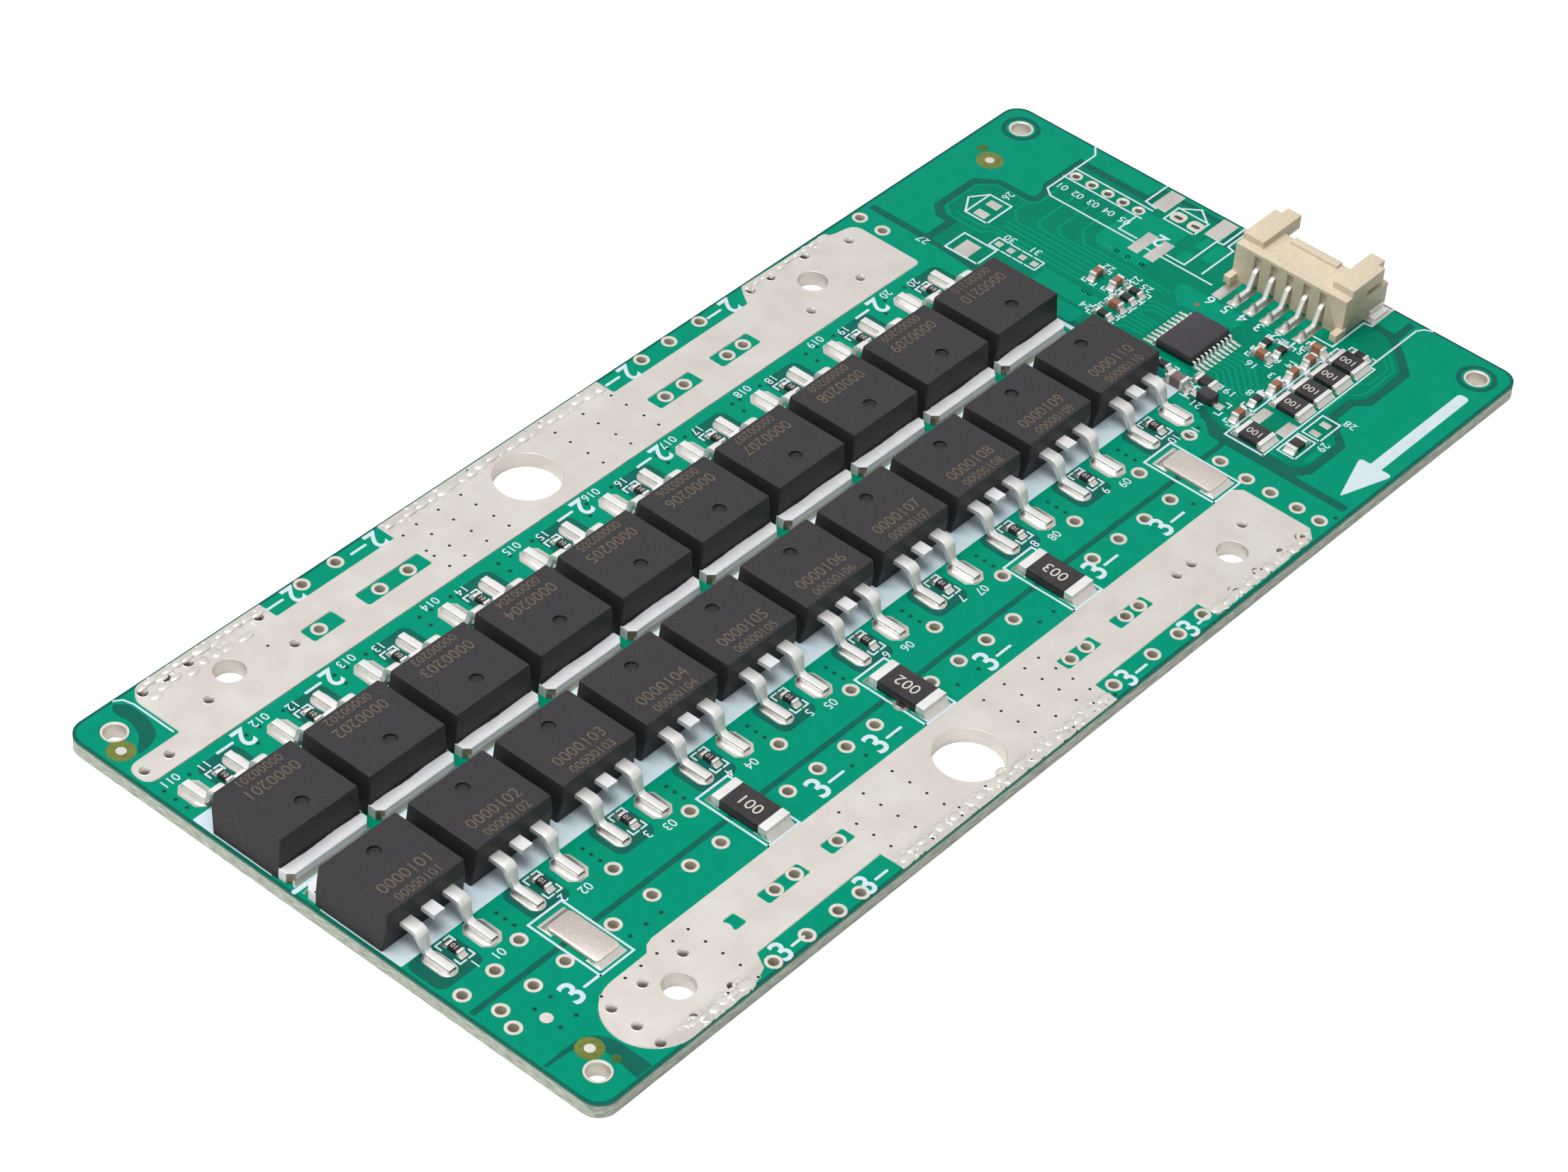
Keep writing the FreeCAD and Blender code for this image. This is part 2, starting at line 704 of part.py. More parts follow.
def chip_resistors():
    """Gate resistors beside the leads, balance resistors in a line, and small ones around the chip."""
    chips = []
    for index in range(int(number("device_count"))):
        across = "(device_first_x + %d * device_pitch" % index
        chips.append(chip("discharge_gate_%d" % index, across + " + gate_resistor_x)",
                          "(case_front_y + gate_resistor_y)", SMALL, "small_height", "small_end", False))
        if number("row_count") == 2:
            chips.append(chip("charge_gate_%d" % index, across + " - gate_resistor_x)",
                              "(charge_front_y - gate_resistor_y)", SMALL, "small_height", "small_end", False))
    for index in (0, 2, 3, 4, 5):
        across = "(balance_first_x + %d * balance_pitch)" % index
        chips.append(chip("balance_%d" % index, across, "balance_y", BALANCE, "balance_height", "balance_end",
                          False))
    for index, (back, along, lengthways) in enumerate(SMALL_RESISTORS):
        chips.append(chip("small_%d" % index, "(hole_span_x - %s)" % back, str(along), SMALL, "small_height",
                          "small_end", lengthways))
    for index, (back, along, lengthways) in enumerate(MEDIUM_RESISTORS):
        chips.append(chip("medium_%d" % index, "(hole_span_x - %s)" % back, str(along), MEDIUM, "medium_height",
                          "medium_end", lengthways))
    return chip_groups("chip_resistor", chips)


def chip_capacitors():
    """Ceramic chip capacitors of the control corner."""
    chips = [chip("capacitor_%d" % index, "(hole_span_x - %s)" % back, str(along), SMALL, "capacitor_height",
                  "small_end", lengthways)
             for index, (back, along, lengthways) in enumerate(SMALL_CAPACITORS)]
    back, along, lengthways = LARGE_CAPACITOR
    chips.append(chip("large_capacitor", "(hole_span_x - %s)" % back, str(along), MEDIUM,
                      "large_capacitor_height", "small_end", lengthways))
    return chip_groups("capacitor", chips)


# Control chip

def controller_case():
    """Flat moulded case whose four sides lean in above and below the leads' level."""
    body = new_body("controller_case")
    top = "controller_standoff + controller_height"
    for plane, size in (("XZ_Plane", "controller_length"), ("YZ_Plane", "controller_width")):
        sketch = new_sketch(body, plane)
        half = "(%s / 2)" % size
        level = "(controller_lead_height - controller_lead_thickness / 2)"
        if plane == "XZ_Plane":
            outline(sketch, [
                ("-%s + controller_lean" % half, "controller_standoff"),
                (half + " - controller_lean", "controller_standoff"), (half, level),
                (half + " - controller_lean", top), ("-%s + controller_lean" % half, top), ("-" + half, level)])
            feature(body, "Pad", sketch, "controller_width", symmetric=True)
        else:
            for sign in ("", "-"):
                outline(sketch, [
                    (sign + half, "controller_standoff"), (sign + half, level),
                    (sign + "(%s - controller_lean)" % half, "controller_standoff")])
                outline(sketch, [
                    (sign + half, level), (sign + half, top), (sign + "(%s - controller_lean)" % half, top)])
            feature(body, "Pocket", sketch, "2 * controller_length", symmetric=True)
    place(body, "controller_x", "controller_y")
    return body


def controller_leads():
    """Ten gull-wing leads along each long side of the control chip."""
    rows = []
    for turn, sign in ((0, "-"), (180, "+")):
        body = new_body("controller_lead_row_%d" % turn)
        sketch = new_sketch(body, "YZ_Plane")
        height = "controller_lead_height"
        thick = "controller_lead_thickness"
        heel = "-(controller_lead_reach - controller_lead_foot)"
        knee = heel + " + controller_lead_lean"
        reach = "-controller_lead_reach"
        outline(sketch, [
            ("0", height), (knee, height), (heel, thick), (reach, thick), (reach, "0"),
            (heel + " + " + thick, "0"), ("%s + %s" % (knee, thick), "%s - %s" % (height, thick)),
            ("0", "%s - %s" % (height, thick))])
        lead = feature(body, "Pad", sketch, "controller_lead_width", symmetric=True)
        row_pattern(body, lead, "X_Axis", "controller_lead_pitch", "controller_lead_count")
        span = "controller_lead_pitch * (controller_lead_count - 1) / 2"
        place(body, "controller_x %s %s" % (sign, span), "controller_y %s controller_width / 2" % sign,
              "board_thickness", turn)
        rows.append(body)
    return group("controller_leads", rows)


# Diode

def diode():
    """Small two-lead diode: its case and the flat leads at its ends."""
    case = box("diode_case", "diode_x", "diode_y", "board_thickness + diode_lead_thickness", "diode_width",
               "diode_length", "diode_height")
    case.Label = "diode_case"
    reach = "diode_lead_reach"
    leads = []
    for tag, sign in (("low", "-"), ("high", "+")):
        leads.append(box("diode_lead_" + tag, "diode_x", "diode_y %s (diode_length / 2)" % sign, "board_thickness",
                         "diode_lead_width", "2 * " + reach, "diode_lead_thickness"))
    return [case, group("diode_leads", leads)]


# Side-entry connector. In its own frame the origin is on the board at the middle of the back face,
# and X runs to the mouth.

def contact_y(index):
    return "(%d - (contact_count - 1) / 2) * contact_pitch" % index


def connector_housing():
    """Moulded housing: back wall with contact grooves and a locating peg at each end, a roof with a latch
    lip between two raised arms, slotted side walls and an open mouth."""
    body = new_body("connector_housing")
    half = "housing_width / 2"
    plan = new_sketch(body)
    rectangle(plan, "0", "housing_depth", "-" + half, half)
    feature(body, "Pad", plan, "housing_height")

    pegs = new_sketch(body)
    for sign in ("", "-"):
        rectangle(pegs, "-peg_length", "housing_wall / 2", sign + "(%s + peg_outset - peg_width)" % half,
                  sign + "(%s + peg_outset)" % half)
    feature(body, "Pad", pegs, "peg_height")

    arms = new_sketch(body, up="housing_height")
    for sign in ("", "-"):
        outer = sign + "(%s)" % half
        step = sign + "(%s - arm_notch_width)" % half
        inner = sign + "(%s - arm_width)" % half
        front = "housing_depth - arm_notch_depth"
        outline(arms, [("arm_back", outer), (front, outer), (front, step), ("housing_depth", step),
                       ("housing_depth", inner), ("arm_back", inner)])
    feature(body, "Pad", arms, "arm_rise")

    lip = new_sketch(body, up="housing_height")
    rectangle(lip, "roof_depth - latch_lip_setback - latch_lip_depth", "roof_depth - latch_lip_setback",
              "-latch_lip_length / 2", "latch_lip_length / 2")
    feature(body, "Pad", lip, "latch_lip_rise")

    open_front = new_sketch(body, up="housing_height")
    inner = "(%s - arm_width)" % half
    rectangle(open_front, "roof_depth", "housing_depth + housing_wall", "-" + inner, inner)
    feature(body, "Pocket", open_front, "housing_height - cavity_bottom")

    cavity = new_sketch(body, "YZ_Plane", up="housing_depth")
    side = "(%s - housing_wall)" % half
    rectangle(cavity, "-" + side, side, "cavity_bottom", "cavity_top")
    feature(body, "Pocket", cavity, "housing_depth - housing_wall")

    corners = new_sketch(body, up="housing_height")
    for sign in ("", "-"):
        outline(corners, [
            ("housing_depth - arm_notch_depth", sign + "(%s)" % half),
            ("housing_depth", sign + "(%s)" % half),
            ("housing_depth", sign + "(%s - arm_notch_width)" % half),
            ("housing_depth - arm_notch_depth", sign + "(%s - arm_notch_width)" % half)])
    feature(body, "Pocket", corners, "housing_height - side_slot_bottom - side_slot_height")

    slots = new_sketch(body, "YZ_Plane", up="housing_depth")
    for sign in ("", "-"):
        rectangle(slots, sign + "(%s)" % side, sign + "(%s + housing_wall)" % half, "side_slot_bottom",
                  "side_slot_bottom + side_slot_height")
    feature(body, "Pocket", slots, "side_slot_length")

    grooves = new_sketch(body)
    for index in range(int(number("contact_count"))):
        middle = contact_y(index)
        rectangle(grooves, "-housing_wall", "contact_groove_depth", middle + " - contact_groove_width / 2",
                  middle + " + contact_groove_width / 2")
    feature(body, "Pocket", grooves, "contact_groove_top", reversed_way=True)

    holes = new_sketch(body, "YZ_Plane")
    for index in range(int(number("contact_count"))):
        middle = contact_y(index)
        rectangle(holes, middle + " - contact_size / 2", middle + " + contact_size / 2",
                  "contact_height - contact_size", "contact_height")
    feature(body, "Pocket", holes, "2 * housing_wall", reversed_way=True)
    place(body, "connector_back_x", "connector_y")
    return body


def connector_contacts():
    """Square contacts: a pin in the mouth, through the back wall, bent down to a foot behind."""
    contacts = []
    for index in range(int(number("contact_count"))):
        body = new_body("contact_%d" % index)
        side = bent_lead_side(body, ("contact_tip", "contact_tip"), "contact_shoulder", "contact_lean",
                              "contact_foot", "contact_height", "contact_size", "contact_bend", "XZ_Plane")
        feature(body, "Pad", side, "contact_size", symmetric=True)
        place(body, "connector_back_x", "connector_y + " + contact_y(index))
        contacts.append(body)
    return group("connector_contacts", contacts)


def connector_anchors():
    """Folded solder anchors at the two front sides of the housing."""
    anchors = []
    for turn, sign in ((0, "-"), (180, "+")):
        body = new_body("anchor_%d" % turn)
        sketch = new_sketch(body, "YZ_Plane")
        outline(sketch, [
            ("-anchor_reach", "0"), ("0", "0"), ("0", "anchor_rise"), ("-anchor_thickness", "anchor_rise"),
            ("-anchor_thickness", "anchor_thickness"), ("-anchor_reach", "anchor_thickness")])
        feature(body, "Pad", sketch, "anchor_length", symmetric=True)
        middle = "connector_back_x + housing_depth - anchor_setback - anchor_length / 2"
        place(body, middle, "connector_y %s housing_width / 2" % sign, "board_thickness", turn)
        anchors.append(body)
    return group("connector_anchors", anchors)


# Every sub-part that is written out

parts = [circuit_board(), battery_terminal_strip(), pack_terminal_strip()]
for row in ("discharge", "charge")[:int(number("row_count"))]:
    parts.append(device_leads(row))
    for position in range(int(number("device_count"))):
        name = "%s_mosfet_%02d" % (row, position + 1)
        parts.append(device_case(name + "_case", row, str(position)))
        parts.append(device_tab(name + "_tab", row, str(position)))
parts.append(sense_strips())
parts += sense_resistors()
parts += chip_resistors()
parts += chip_capacitors()
parts += [controller_case(), controller_leads()]
parts += diode()
parts += [connector_housing(), connector_contacts(), connector_anchors()]

doc.recompute()

# Checks before anything is written

for thing in doc.Objects:
    if "Invalid" in thing.State or "Error" in thing.State:
        raise RuntimeError("%s failed: %s" % (thing.Label, thing.State))
for part in parts:
    if part.Shape.isNull() or not part.Shape.isValid() or not part.Shape.Solids:
        raise RuntimeError("%s has no valid solid" % part.Label)

os.makedirs("parts", exist_ok=True)
for part in parts:
    part.Shape.exportStep("parts/%s.step" % part.Label)
print("%d sub-parts written" % len(parts))
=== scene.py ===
"""Looks of the battery management board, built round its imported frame.

Shapes are worked out in millimetres from the datum, the centre of the corner hole nearest the
battery strip's round end, at the level of the board's top. X runs towards the connector, Y from
the battery strip to the pack strip, Z up.
"""
import math

import bmesh
import bpy
import numpy as np
from mathutils import Matrix, Vector
from mathutils.geometry import tessellate_polygon


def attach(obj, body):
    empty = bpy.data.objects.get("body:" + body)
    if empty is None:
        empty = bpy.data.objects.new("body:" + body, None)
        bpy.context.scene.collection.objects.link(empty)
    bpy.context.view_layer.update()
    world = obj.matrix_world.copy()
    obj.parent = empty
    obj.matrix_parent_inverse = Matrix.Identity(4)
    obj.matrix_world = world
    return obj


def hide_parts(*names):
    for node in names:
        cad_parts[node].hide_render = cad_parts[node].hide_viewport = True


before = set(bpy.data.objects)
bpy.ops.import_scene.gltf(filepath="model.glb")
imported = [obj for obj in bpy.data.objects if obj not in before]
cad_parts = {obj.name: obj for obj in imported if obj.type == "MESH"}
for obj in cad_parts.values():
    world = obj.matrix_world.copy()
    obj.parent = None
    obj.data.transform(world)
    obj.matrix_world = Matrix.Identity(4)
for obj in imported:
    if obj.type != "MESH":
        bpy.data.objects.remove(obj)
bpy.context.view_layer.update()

# The datum's place in the frame, in millimetres
DATUM = np.array([-63.5, -28.575, 1.6])

# Levels in millimetres, from the laminate's top
COPPER = 0.035
INK = 0.05
PAD = 0.055
STRIP = 0.12
BOARD = 1.6


# Materials

def linear(code):
    """The linear colour of an sRGB hex code."""
    parts = np.array([int(code[i:i + 2], 16) for i in (1, 3, 5)]) / 255
    low = parts / 12.92
    high = ((parts + 0.055) / 1.055) ** 2.4
    return tuple(np.where(parts <= 0.04045, low, high)) + (1.0,)


def add_node(tree, kind, inputs=None, **settings):
    """Adds one node: its settings, and its inputs as values or as other nodes' outputs."""
    made = tree.nodes.new("ShaderNode" + kind)
    for name, value in settings.items():
        setattr(made, name, value)
    for name, value in (inputs or {}).items():
        if isinstance(value, bpy.types.NodeSocket):
            tree.links.new(value, made.inputs[name])
        else:
            made.inputs[name].default_value = value
    return made


def new_material(name, **values):
    """A material with one Principled shader, and Object coordinates in metres."""
    made = bpy.data.materials.new(name)
    made.use_nodes = True
    tree = made.node_tree
    shader = tree.nodes["Principled BSDF"]
    for key, value in values.items():
        shader.inputs[key.replace("_", " ")].default_value = value
    place = add_node(tree, "TexCoord").outputs["Object"]
    return made, tree, shader, place


def mottled(tree, shader, place, first, second, size, spread=0.5, detail=3.0):
    """Colour that drifts between two codes in patches of a size in millimetres."""
    noise = add_node(tree, "TexNoise", {"Vector": place, "Scale": 1000 / size, "Detail": detail})
    level = add_node(tree, "MapRange", {
        "Value": noise.outputs["Fac"], "From Min": 0.5 - spread / 2, "From Max": 0.5 + spread / 2})
    mix = add_node(tree, "Mix", {0: level.outputs["Result"], 6: linear(first), 7: linear(second)},
                   data_type="RGBA")
    tree.links.new(mix.outputs[2], shader.inputs["Base Color"])


def grained(tree, shader, place, size, depth):
    """Bumps of a grain size and a depth, both in millimetres."""
    noise = add_node(tree, "TexNoise", {"Vector": place, "Scale": 1000 / size, "Detail": 2.0})
    bump = add_node(tree, "Bump", {"Height": noise.outputs["Fac"], "Distance": depth / 1000, "Strength": 1.0})
    tree.links.new(bump.outputs["Normal"], shader.inputs["Normal"])
    return bump.outputs["Normal"]


def even_material(name, first, second, roughness, grain, depth, patch, spread=0.5, detail=3.0, **inputs):
    """A material of two colour codes that drift into each other in patches, over a fine grain."""
    made, tree, shader, place = new_material(name, Roughness=roughness, **inputs)
    mottled(tree, shader, place, first, second, patch, spread, detail)
    grained(tree, shader, place, grain, depth)
    return made


def solder_mask(name, first, second, roughness):
    """Photo-imaged epoxy ink over the board: satin, with the faint orange peel of a sprayed coat."""
    return even_material(name, first, second, roughness, 0.35, 0.006, 1.6, 0.6, Specular_IOR_Level=0.04)


# Green mask over copper is the brightest, because the copper shines through it
mask_copper = solder_mask("solder_mask_over_copper", "#008569", "#008D70", 0.36)
# Over laminate with inner copper the green is deeper
mask_inner = solder_mask("solder_mask_over_inner_copper", "#00745A", "#007C61", 0.38)
# Over bare laminate it is a dull grey green
mask_bare = solder_mask("solder_mask_over_laminate", "#10594E", "#176457", 0.42)


def tin_material(name, first, second, roughness, grain, depth, metallic=1.0):
    """Tin or solder: a bright grey metal, slightly uneven. Under full metal, its frosted skin scatters
    light as well, which keeps it pale beside dark parts."""
    return even_material(name, first, second, roughness, grain, depth, grain * 6, Metallic=metallic,
                         Specular_IOR_Level=0.3)


tin_pad = tin_material("levelled_solder", "#CFCBC4", "#DAD7D1", 0.36, 0.5, 0.02)
tin_ring = tin_material("tinned_ring", "#CFCAC1", "#DDD8D0", 0.4, 0.3, 0.01, 0.85)
tin_lead = tin_material("matte_tin_plate", "#D6D5D2", "#E6E5E3", 0.38, 0.25, 0.006, 0.5)
tin_tab = tin_material("tinned_tab", "#DADBDD", "#EAEAEC", 0.55, 0.3, 0.01, 0.1)
bore_metal = tin_material("plated_bore", "#B5AC9C", "#D2CBBE", 0.45, 0.3, 0.01, 0.5)
solder_joint_metal = tin_material("reflowed_solder", "#B9B6B0", "#D2CFC9", 0.3, 0.7, 0.02, 0.9)


def ripple_material(name, edge_level, inner_level):
    """Tinned copper strip: satin and faintly mottled, with frozen solder ripples along its outer edge."""
    made, tree, shader, place = new_material(name, Metallic=1.0)
    mottled(tree, shader, place, "#CFC8C1", "#D9D5CF", 3.0, 0.5)
    fine = grained(tree, shader, place, 0.45, 0.008)
    lumps = add_node(tree, "TexNoise", {"Vector": place, "Scale": 1000 / 1.6, "Detail": 1.0,
                                        "Distortion": 1.0})
    split = add_node(tree, "SeparateXYZ", {"Vector": place})
    near_edge = add_node(tree, "MapRange", {
        "Value": split.outputs["Y"], "From Min": inner_level / 1000, "From Max": edge_level / 1000},
        interpolation_type="SMOOTHSTEP")
    height = add_node(tree, "Math", {0: lumps.outputs["Fac"], 1: near_edge.outputs["Result"]},
                      operation="MULTIPLY")
    bump = add_node(tree, "Bump", {"Height": height.outputs["Value"], "Distance": 0.0004,
                                   "Strength": 1.0, "Normal": fine})
    tree.links.new(bump.outputs["Normal"], shader.inputs["Normal"])
    gloss = add_node(tree, "MapRange", {"Value": near_edge.outputs["Result"], "To Min": 0.42,
                                        "To Max": 0.24})
    tree.links.new(gloss.outputs["Result"], shader.inputs["Roughness"])
    return made


battery_tin = ripple_material("tinned_battery_strip", -31.4, -29.6)
pack_tin = ripple_material("tinned_pack_strip", 31.2, 29.2)


def moulding_material(name, first, second, roughness, grain, depth):
    """Filled epoxy or nylon, as it leaves a spark-eroded mould: an even, fine grain."""
    return even_material(name, first, second, roughness, grain, depth, grain * 1.5, 0.35, 2.0,
                         Specular_IOR_Level=0.25)


# Filled epoxy is a dull near black; the control chip's is a little paler
epoxy = moulding_material("moulded_epoxy", "#272528", "#333133", 0.5, 0.16, 0.012)
chip_epoxy = moulding_material("chip_epoxy", "#333035", "#3F3C41", 0.5, 0.14, 0.01)
# Unpainted nylon is a warm cream
nylon = moulding_material("moulded_nylon", "#CDBFA6", "#D6C9B2", 0.45, 0.3, 0.008)
# Etched numbers scatter light, so they look a paler brown than the case
etched = moulding_material("laser_etched_epoxy", "#5A4E42", "#6B5D4F", 0.7, 0.14, 0.01)
# The glass glaze of chip resistors gleams, and their printed numbers are pale
glass_coat = moulding_material("resistor_glass", "#2B272A", "#353134", 0.28, 0.4, 0.004)
chip_print = moulding_material("chip_print", "#C4C0B6", "#CFCBC2", 0.5, 0.3, 0.004)
# Ceramic capacitors are a dull brown, and the large one is mauve
ceramic = moulding_material("capacitor_ceramic", "#8B5A45", "#9B6A52", 0.42, 0.3, 0.005)
grey_ceramic = moulding_material("mauve_ceramic", "#6E5B5C", "#7C686A", 0.42, 0.3, 0.005)
# Legend ink is thin, so the green shows through it and cools it
ink = moulding_material("legend_ink", "#C2D3DC", "#CAD9E2", 0.55, 0.5, 0.006)
# A hole seen from above is dark, so a flat dark disc of painted shade stands for it; mask turns olive over
# brass or a tinned hole
hole_shade_paint = moulding_material("painted_hole_shade", "#10201B", "#18302A", 0.8, 0.3, 0.0)
olive_mask = moulding_material("mask_over_brass", "#5E6B2A", "#6E7A34", 0.4, 0.5, 0.004)
deep_olive = moulding_material("mask_over_tin_hole", "#31591E", "#3C6626", 0.4, 0.5, 0.004)
# Scuffed mask shows a red brown
scuffed = moulding_material("scuffed_mask", "#9A5B45", "#7E6A4E", 0.6, 0.25, 0.02)
# Manganese copper resistance alloy is a pinkish grey, with a fine rolled grain
alloy = even_material("resistance_alloy", "#CBC0B7", "#D7CEC6", 0.42, 0.16, 0.008, 0.35, 0.4, Metallic=1.0)
# Bare copper, where a tinned part was cut, is brown and streaked
cut_copper = even_material("cut_copper", "#5E4232", "#B09A87", 0.45, 0.25, 0.02, 0.5, Metallic=0.4)


def laminate_material():
    """Glass epoxy laminate at a routed edge: pale grey green, with thin streaks along its cloth layers and
    a line of green mask at its top."""
    made, tree, shader, place = new_material("glass_epoxy_edge", Roughness=0.6)
    stretch = add_node(tree, "Mapping", {"Vector": place, "Scale": (900, 900, 9000)})
    layers = add_node(tree, "TexNoise", {"Vector": stretch.outputs["Vector"], "Scale": 1.0,
                                         "Detail": 3.0})
    spread = add_node(tree, "MapRange", {"Value": layers.outputs["Fac"], "From Min": 0.32, "From Max": 0.62})
    cloth = add_node(tree, "Mix", {0: spread.outputs["Result"], 6: linear("#82907F"), 7: linear("#CCD1C4")},
                     data_type="RGBA")
    level = add_node(tree, "SeparateXYZ", {"Vector": place})
    skin = add_node(tree, "MapRange", {"Value": level.outputs["Z"], "From Min": 0.00128, "From Max": 0.00146})
    mix = add_node(tree, "Mix", {0: skin.outputs["Result"], 6: cloth.outputs[2], 7: linear("#0E6B52")},
                   data_type="RGBA")
    tree.links.new(mix.outputs[2], shader.inputs["Base Color"])
    bump = add_node(tree, "Bump", {"Height": layers.outputs["Fac"], "Distance": 0.00008,
                                   "Strength": 1.0})
    tree.links.new(bump.outputs["Normal"], shader.inputs["Normal"])
    return made


laminate = laminate_material()


# Shapes: arrays of points in millimetres, and arrays of faces that index them

class Gather:
    """Points and faces of many surfaces, gathered for one mesh; a mark picks each face's material."""

    def __init__(self):
        self.points = []
        self.faces = []
        self.marks = []
        self.count = 0

    def extend(self, points, groups):
        """Adds points with several groups of faces, each with a mark of its own."""
        self.points.append(np.asarray(points, float))
        for faces, mark in groups:
            self.faces.extend((np.asarray(faces) + self.count).tolist())
            self.marks.extend([mark] * len(faces))
        self.count += len(points)

    def add(self, points, faces, mark=0):
        """Adds points with one block of faces, or a list of blocks, all in one mark."""
        blocks = faces if isinstance(faces, list) else [faces]
        self.extend(points, [(block, mark) for block in blocks])


def piece(name, gathered, materials, stands_for=(), smooth_angle=None):
    """Makes an object of gathered surfaces. Faces that meet under the angle in degrees shade as one."""
    mesh = bpy.data.meshes.new(name)
    points = (np.concatenate(gathered.points) + DATUM) / 1000
    mesh.from_pydata(points.tolist(), [], gathered.faces)
    for material in materials:
        mesh.materials.append(material)
    mesh.polygons.foreach_set("material_index", gathered.marks)
    if smooth_angle:
        mesh.polygons.foreach_set("use_smooth", [True] * len(mesh.polygons))
        mesh.set_sharp_from_angle(angle=math.radians(smooth_angle))
    mesh.update()
    made = bpy.data.objects.new(name, mesh)
    bpy.context.scene.collection.objects.link(made)
    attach(made, "root")
    if stands_for:
        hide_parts(*stands_for)


def grid_faces(rows, columns, closed=True):
    """Quads between neighbouring rows and columns of points; closed joins the last column to the first."""
    row = np.arange(rows - 1)[:, None]
    column = np.arange(columns if closed else columns - 1)[None, :]
    after = (column + 1) % columns
    corners = [row * columns + column, row * columns + after,
               (row + 1) * columns + after, (row + 1) * columns + column]
    return np.stack(np.broadcast_arrays(*corners), -1).reshape(-1, 4)


def loft(rings, bottom=False, top=True):
    """A surface through rings that turn anticlockwise from above, in order, with flat ends if asked."""
    rings = np.asarray(rings, float)
    rows, columns = rings.shape[:2]
    faces = [grid_faces(rows, columns)]
    if top:
        faces.append(np.arange(columns)[None] + (rows - 1) * columns)
    if bottom:
        faces.append(np.arange(columns)[None, ::-1])
    return rings.reshape(-1, 3), faces


def raised(loop, level):
    """The points of a flat loop, at a height."""
    return np.column_stack([loop, np.full(len(loop), level)])


def add_disc(gathered, loop, level, mark=0):
    """Adds one flat face inside a loop, at a height."""
    gathered.add(raised(loop, level), np.arange(len(loop))[None], mark)


def equal_angles(steps):
    """Angles in equal steps round a full turn."""
    return np.arange(steps) * 2 * math.pi / steps


def circle(across, along, radius, steps=24):
    """Points round a circle: the cosine and sine of equal angles."""
    angle = equal_angles(steps)
    return np.stack([across + radius * np.cos(angle), along + radius * np.sin(angle)], -1)


def squared_oval(across, along, half_x, half_y, power=1.0, steps=28):
    """Points round an oval. Powers of the cosine and sine below one push it out towards a rectangle."""
    angle = equal_angles(steps)
    reach_x, reach_y = np.cos(angle), np.sin(angle)
    return np.stack([across + half_x * np.sign(reach_x) * np.abs(reach_x) ** power,
                     along + half_y * np.sign(reach_y) * np.abs(reach_y) ** power], -1)


def rounded(across, along, half_x, half_y, radius, steps=4):
    """Points round a rectangle: a quarter circle of points about each corner's own centre."""
    angle = (np.arange(4)[:, None] * math.pi / 2 + np.linspace(0, math.pi / 2, steps + 1)).ravel()
    side_x = np.repeat([1, -1, -1, 1], steps + 1)
    side_y = np.repeat([1, 1, -1, -1], steps + 1)
    x = across + side_x * (half_x - radius) + radius * np.cos(angle)
    y = along + side_y * (half_y - radius) + radius * np.sin(angle)
    return np.stack([x, y], -1)


def soft_loop(corners, radius=0.0, steps=4, closed=True):
    """A line through corners, each replaced by a parabola that starts and ends a set-back from it."""
    corners = np.array([corner[:2] for corner in corners], float)
    set_back = np.broadcast_to(np.asarray(radius, float), len(corners))
    before = np.roll(corners, 1, 0) - corners
    after = np.roll(corners, -1, 0) - corners
    before_length = np.linalg.norm(before, axis=1)
    after_length = np.linalg.norm(after, axis=1)
    reach = np.maximum(np.minimum(set_back, 0.49 * np.minimum(before_length, after_length)), 1e-4)
    start = corners + before * (reach / before_length)[:, None]
    end = corners + after * (reach / after_length)[:, None]
    t = np.linspace(0, 1, steps + 1)[None, :, None]
    line = (1 - t) ** 2 * start[:, None] + 2 * t * (1 - t) * corners[:, None] + t ** 2 * end[:, None]
    line = line.reshape(-1, 2)
    if not closed:
        line = np.concatenate([corners[:1], line[steps + 1:-steps - 1], corners[-1:]])
    keep = np.linalg.norm(line - np.roll(line, 1, 0), axis=1) > 2e-3
    return line[keep]


def turned(loop, anticlockwise):
    """The loop in the wanted sense, from the sign of its area."""
    x, y = loop[:, 0], loop[:, 1]
    area = np.sum(x * np.roll(y, -1) - np.roll(x, -1) * y)
    return loop if (area > 0) == anticlockwise else loop[::-1]


def moved_in(loop, distance):
    """Moves each point of a loop to its left, along the middle of its two edges' normals."""
    edge = np.roll(loop, -1, 0) - loop
    edge = edge / np.linalg.norm(edge, axis=1)[:, None]
    normal = np.stack([-edge[:, 1], edge[:, 0]], -1)
    middle = normal + np.roll(normal, 1, 0)
    length = np.maximum(np.sum(middle ** 2, 1), 0.4)
    return loop + middle * (2 * distance / length)[:, None]


def filled(loops):
    """The joined points of a loop and its holes, and triangles between them that face up."""
    flat = np.concatenate(loops)
    triangles = np.array(tessellate_polygon([[Vector((x, y, 0)) for x, y in loop] for loop in loops]))
    a, b, c = flat[triangles[:, 0]], flat[triangles[:, 1]], flat[triangles[:, 2]]
    area = (b[:, 0] - a[:, 0]) * (c[:, 1] - a[:, 1]) - (b[:, 1] - a[:, 1]) * (c[:, 0] - a[:, 0])
    triangles[area < 0] = triangles[area < 0][:, ::-1]
    return flat, triangles


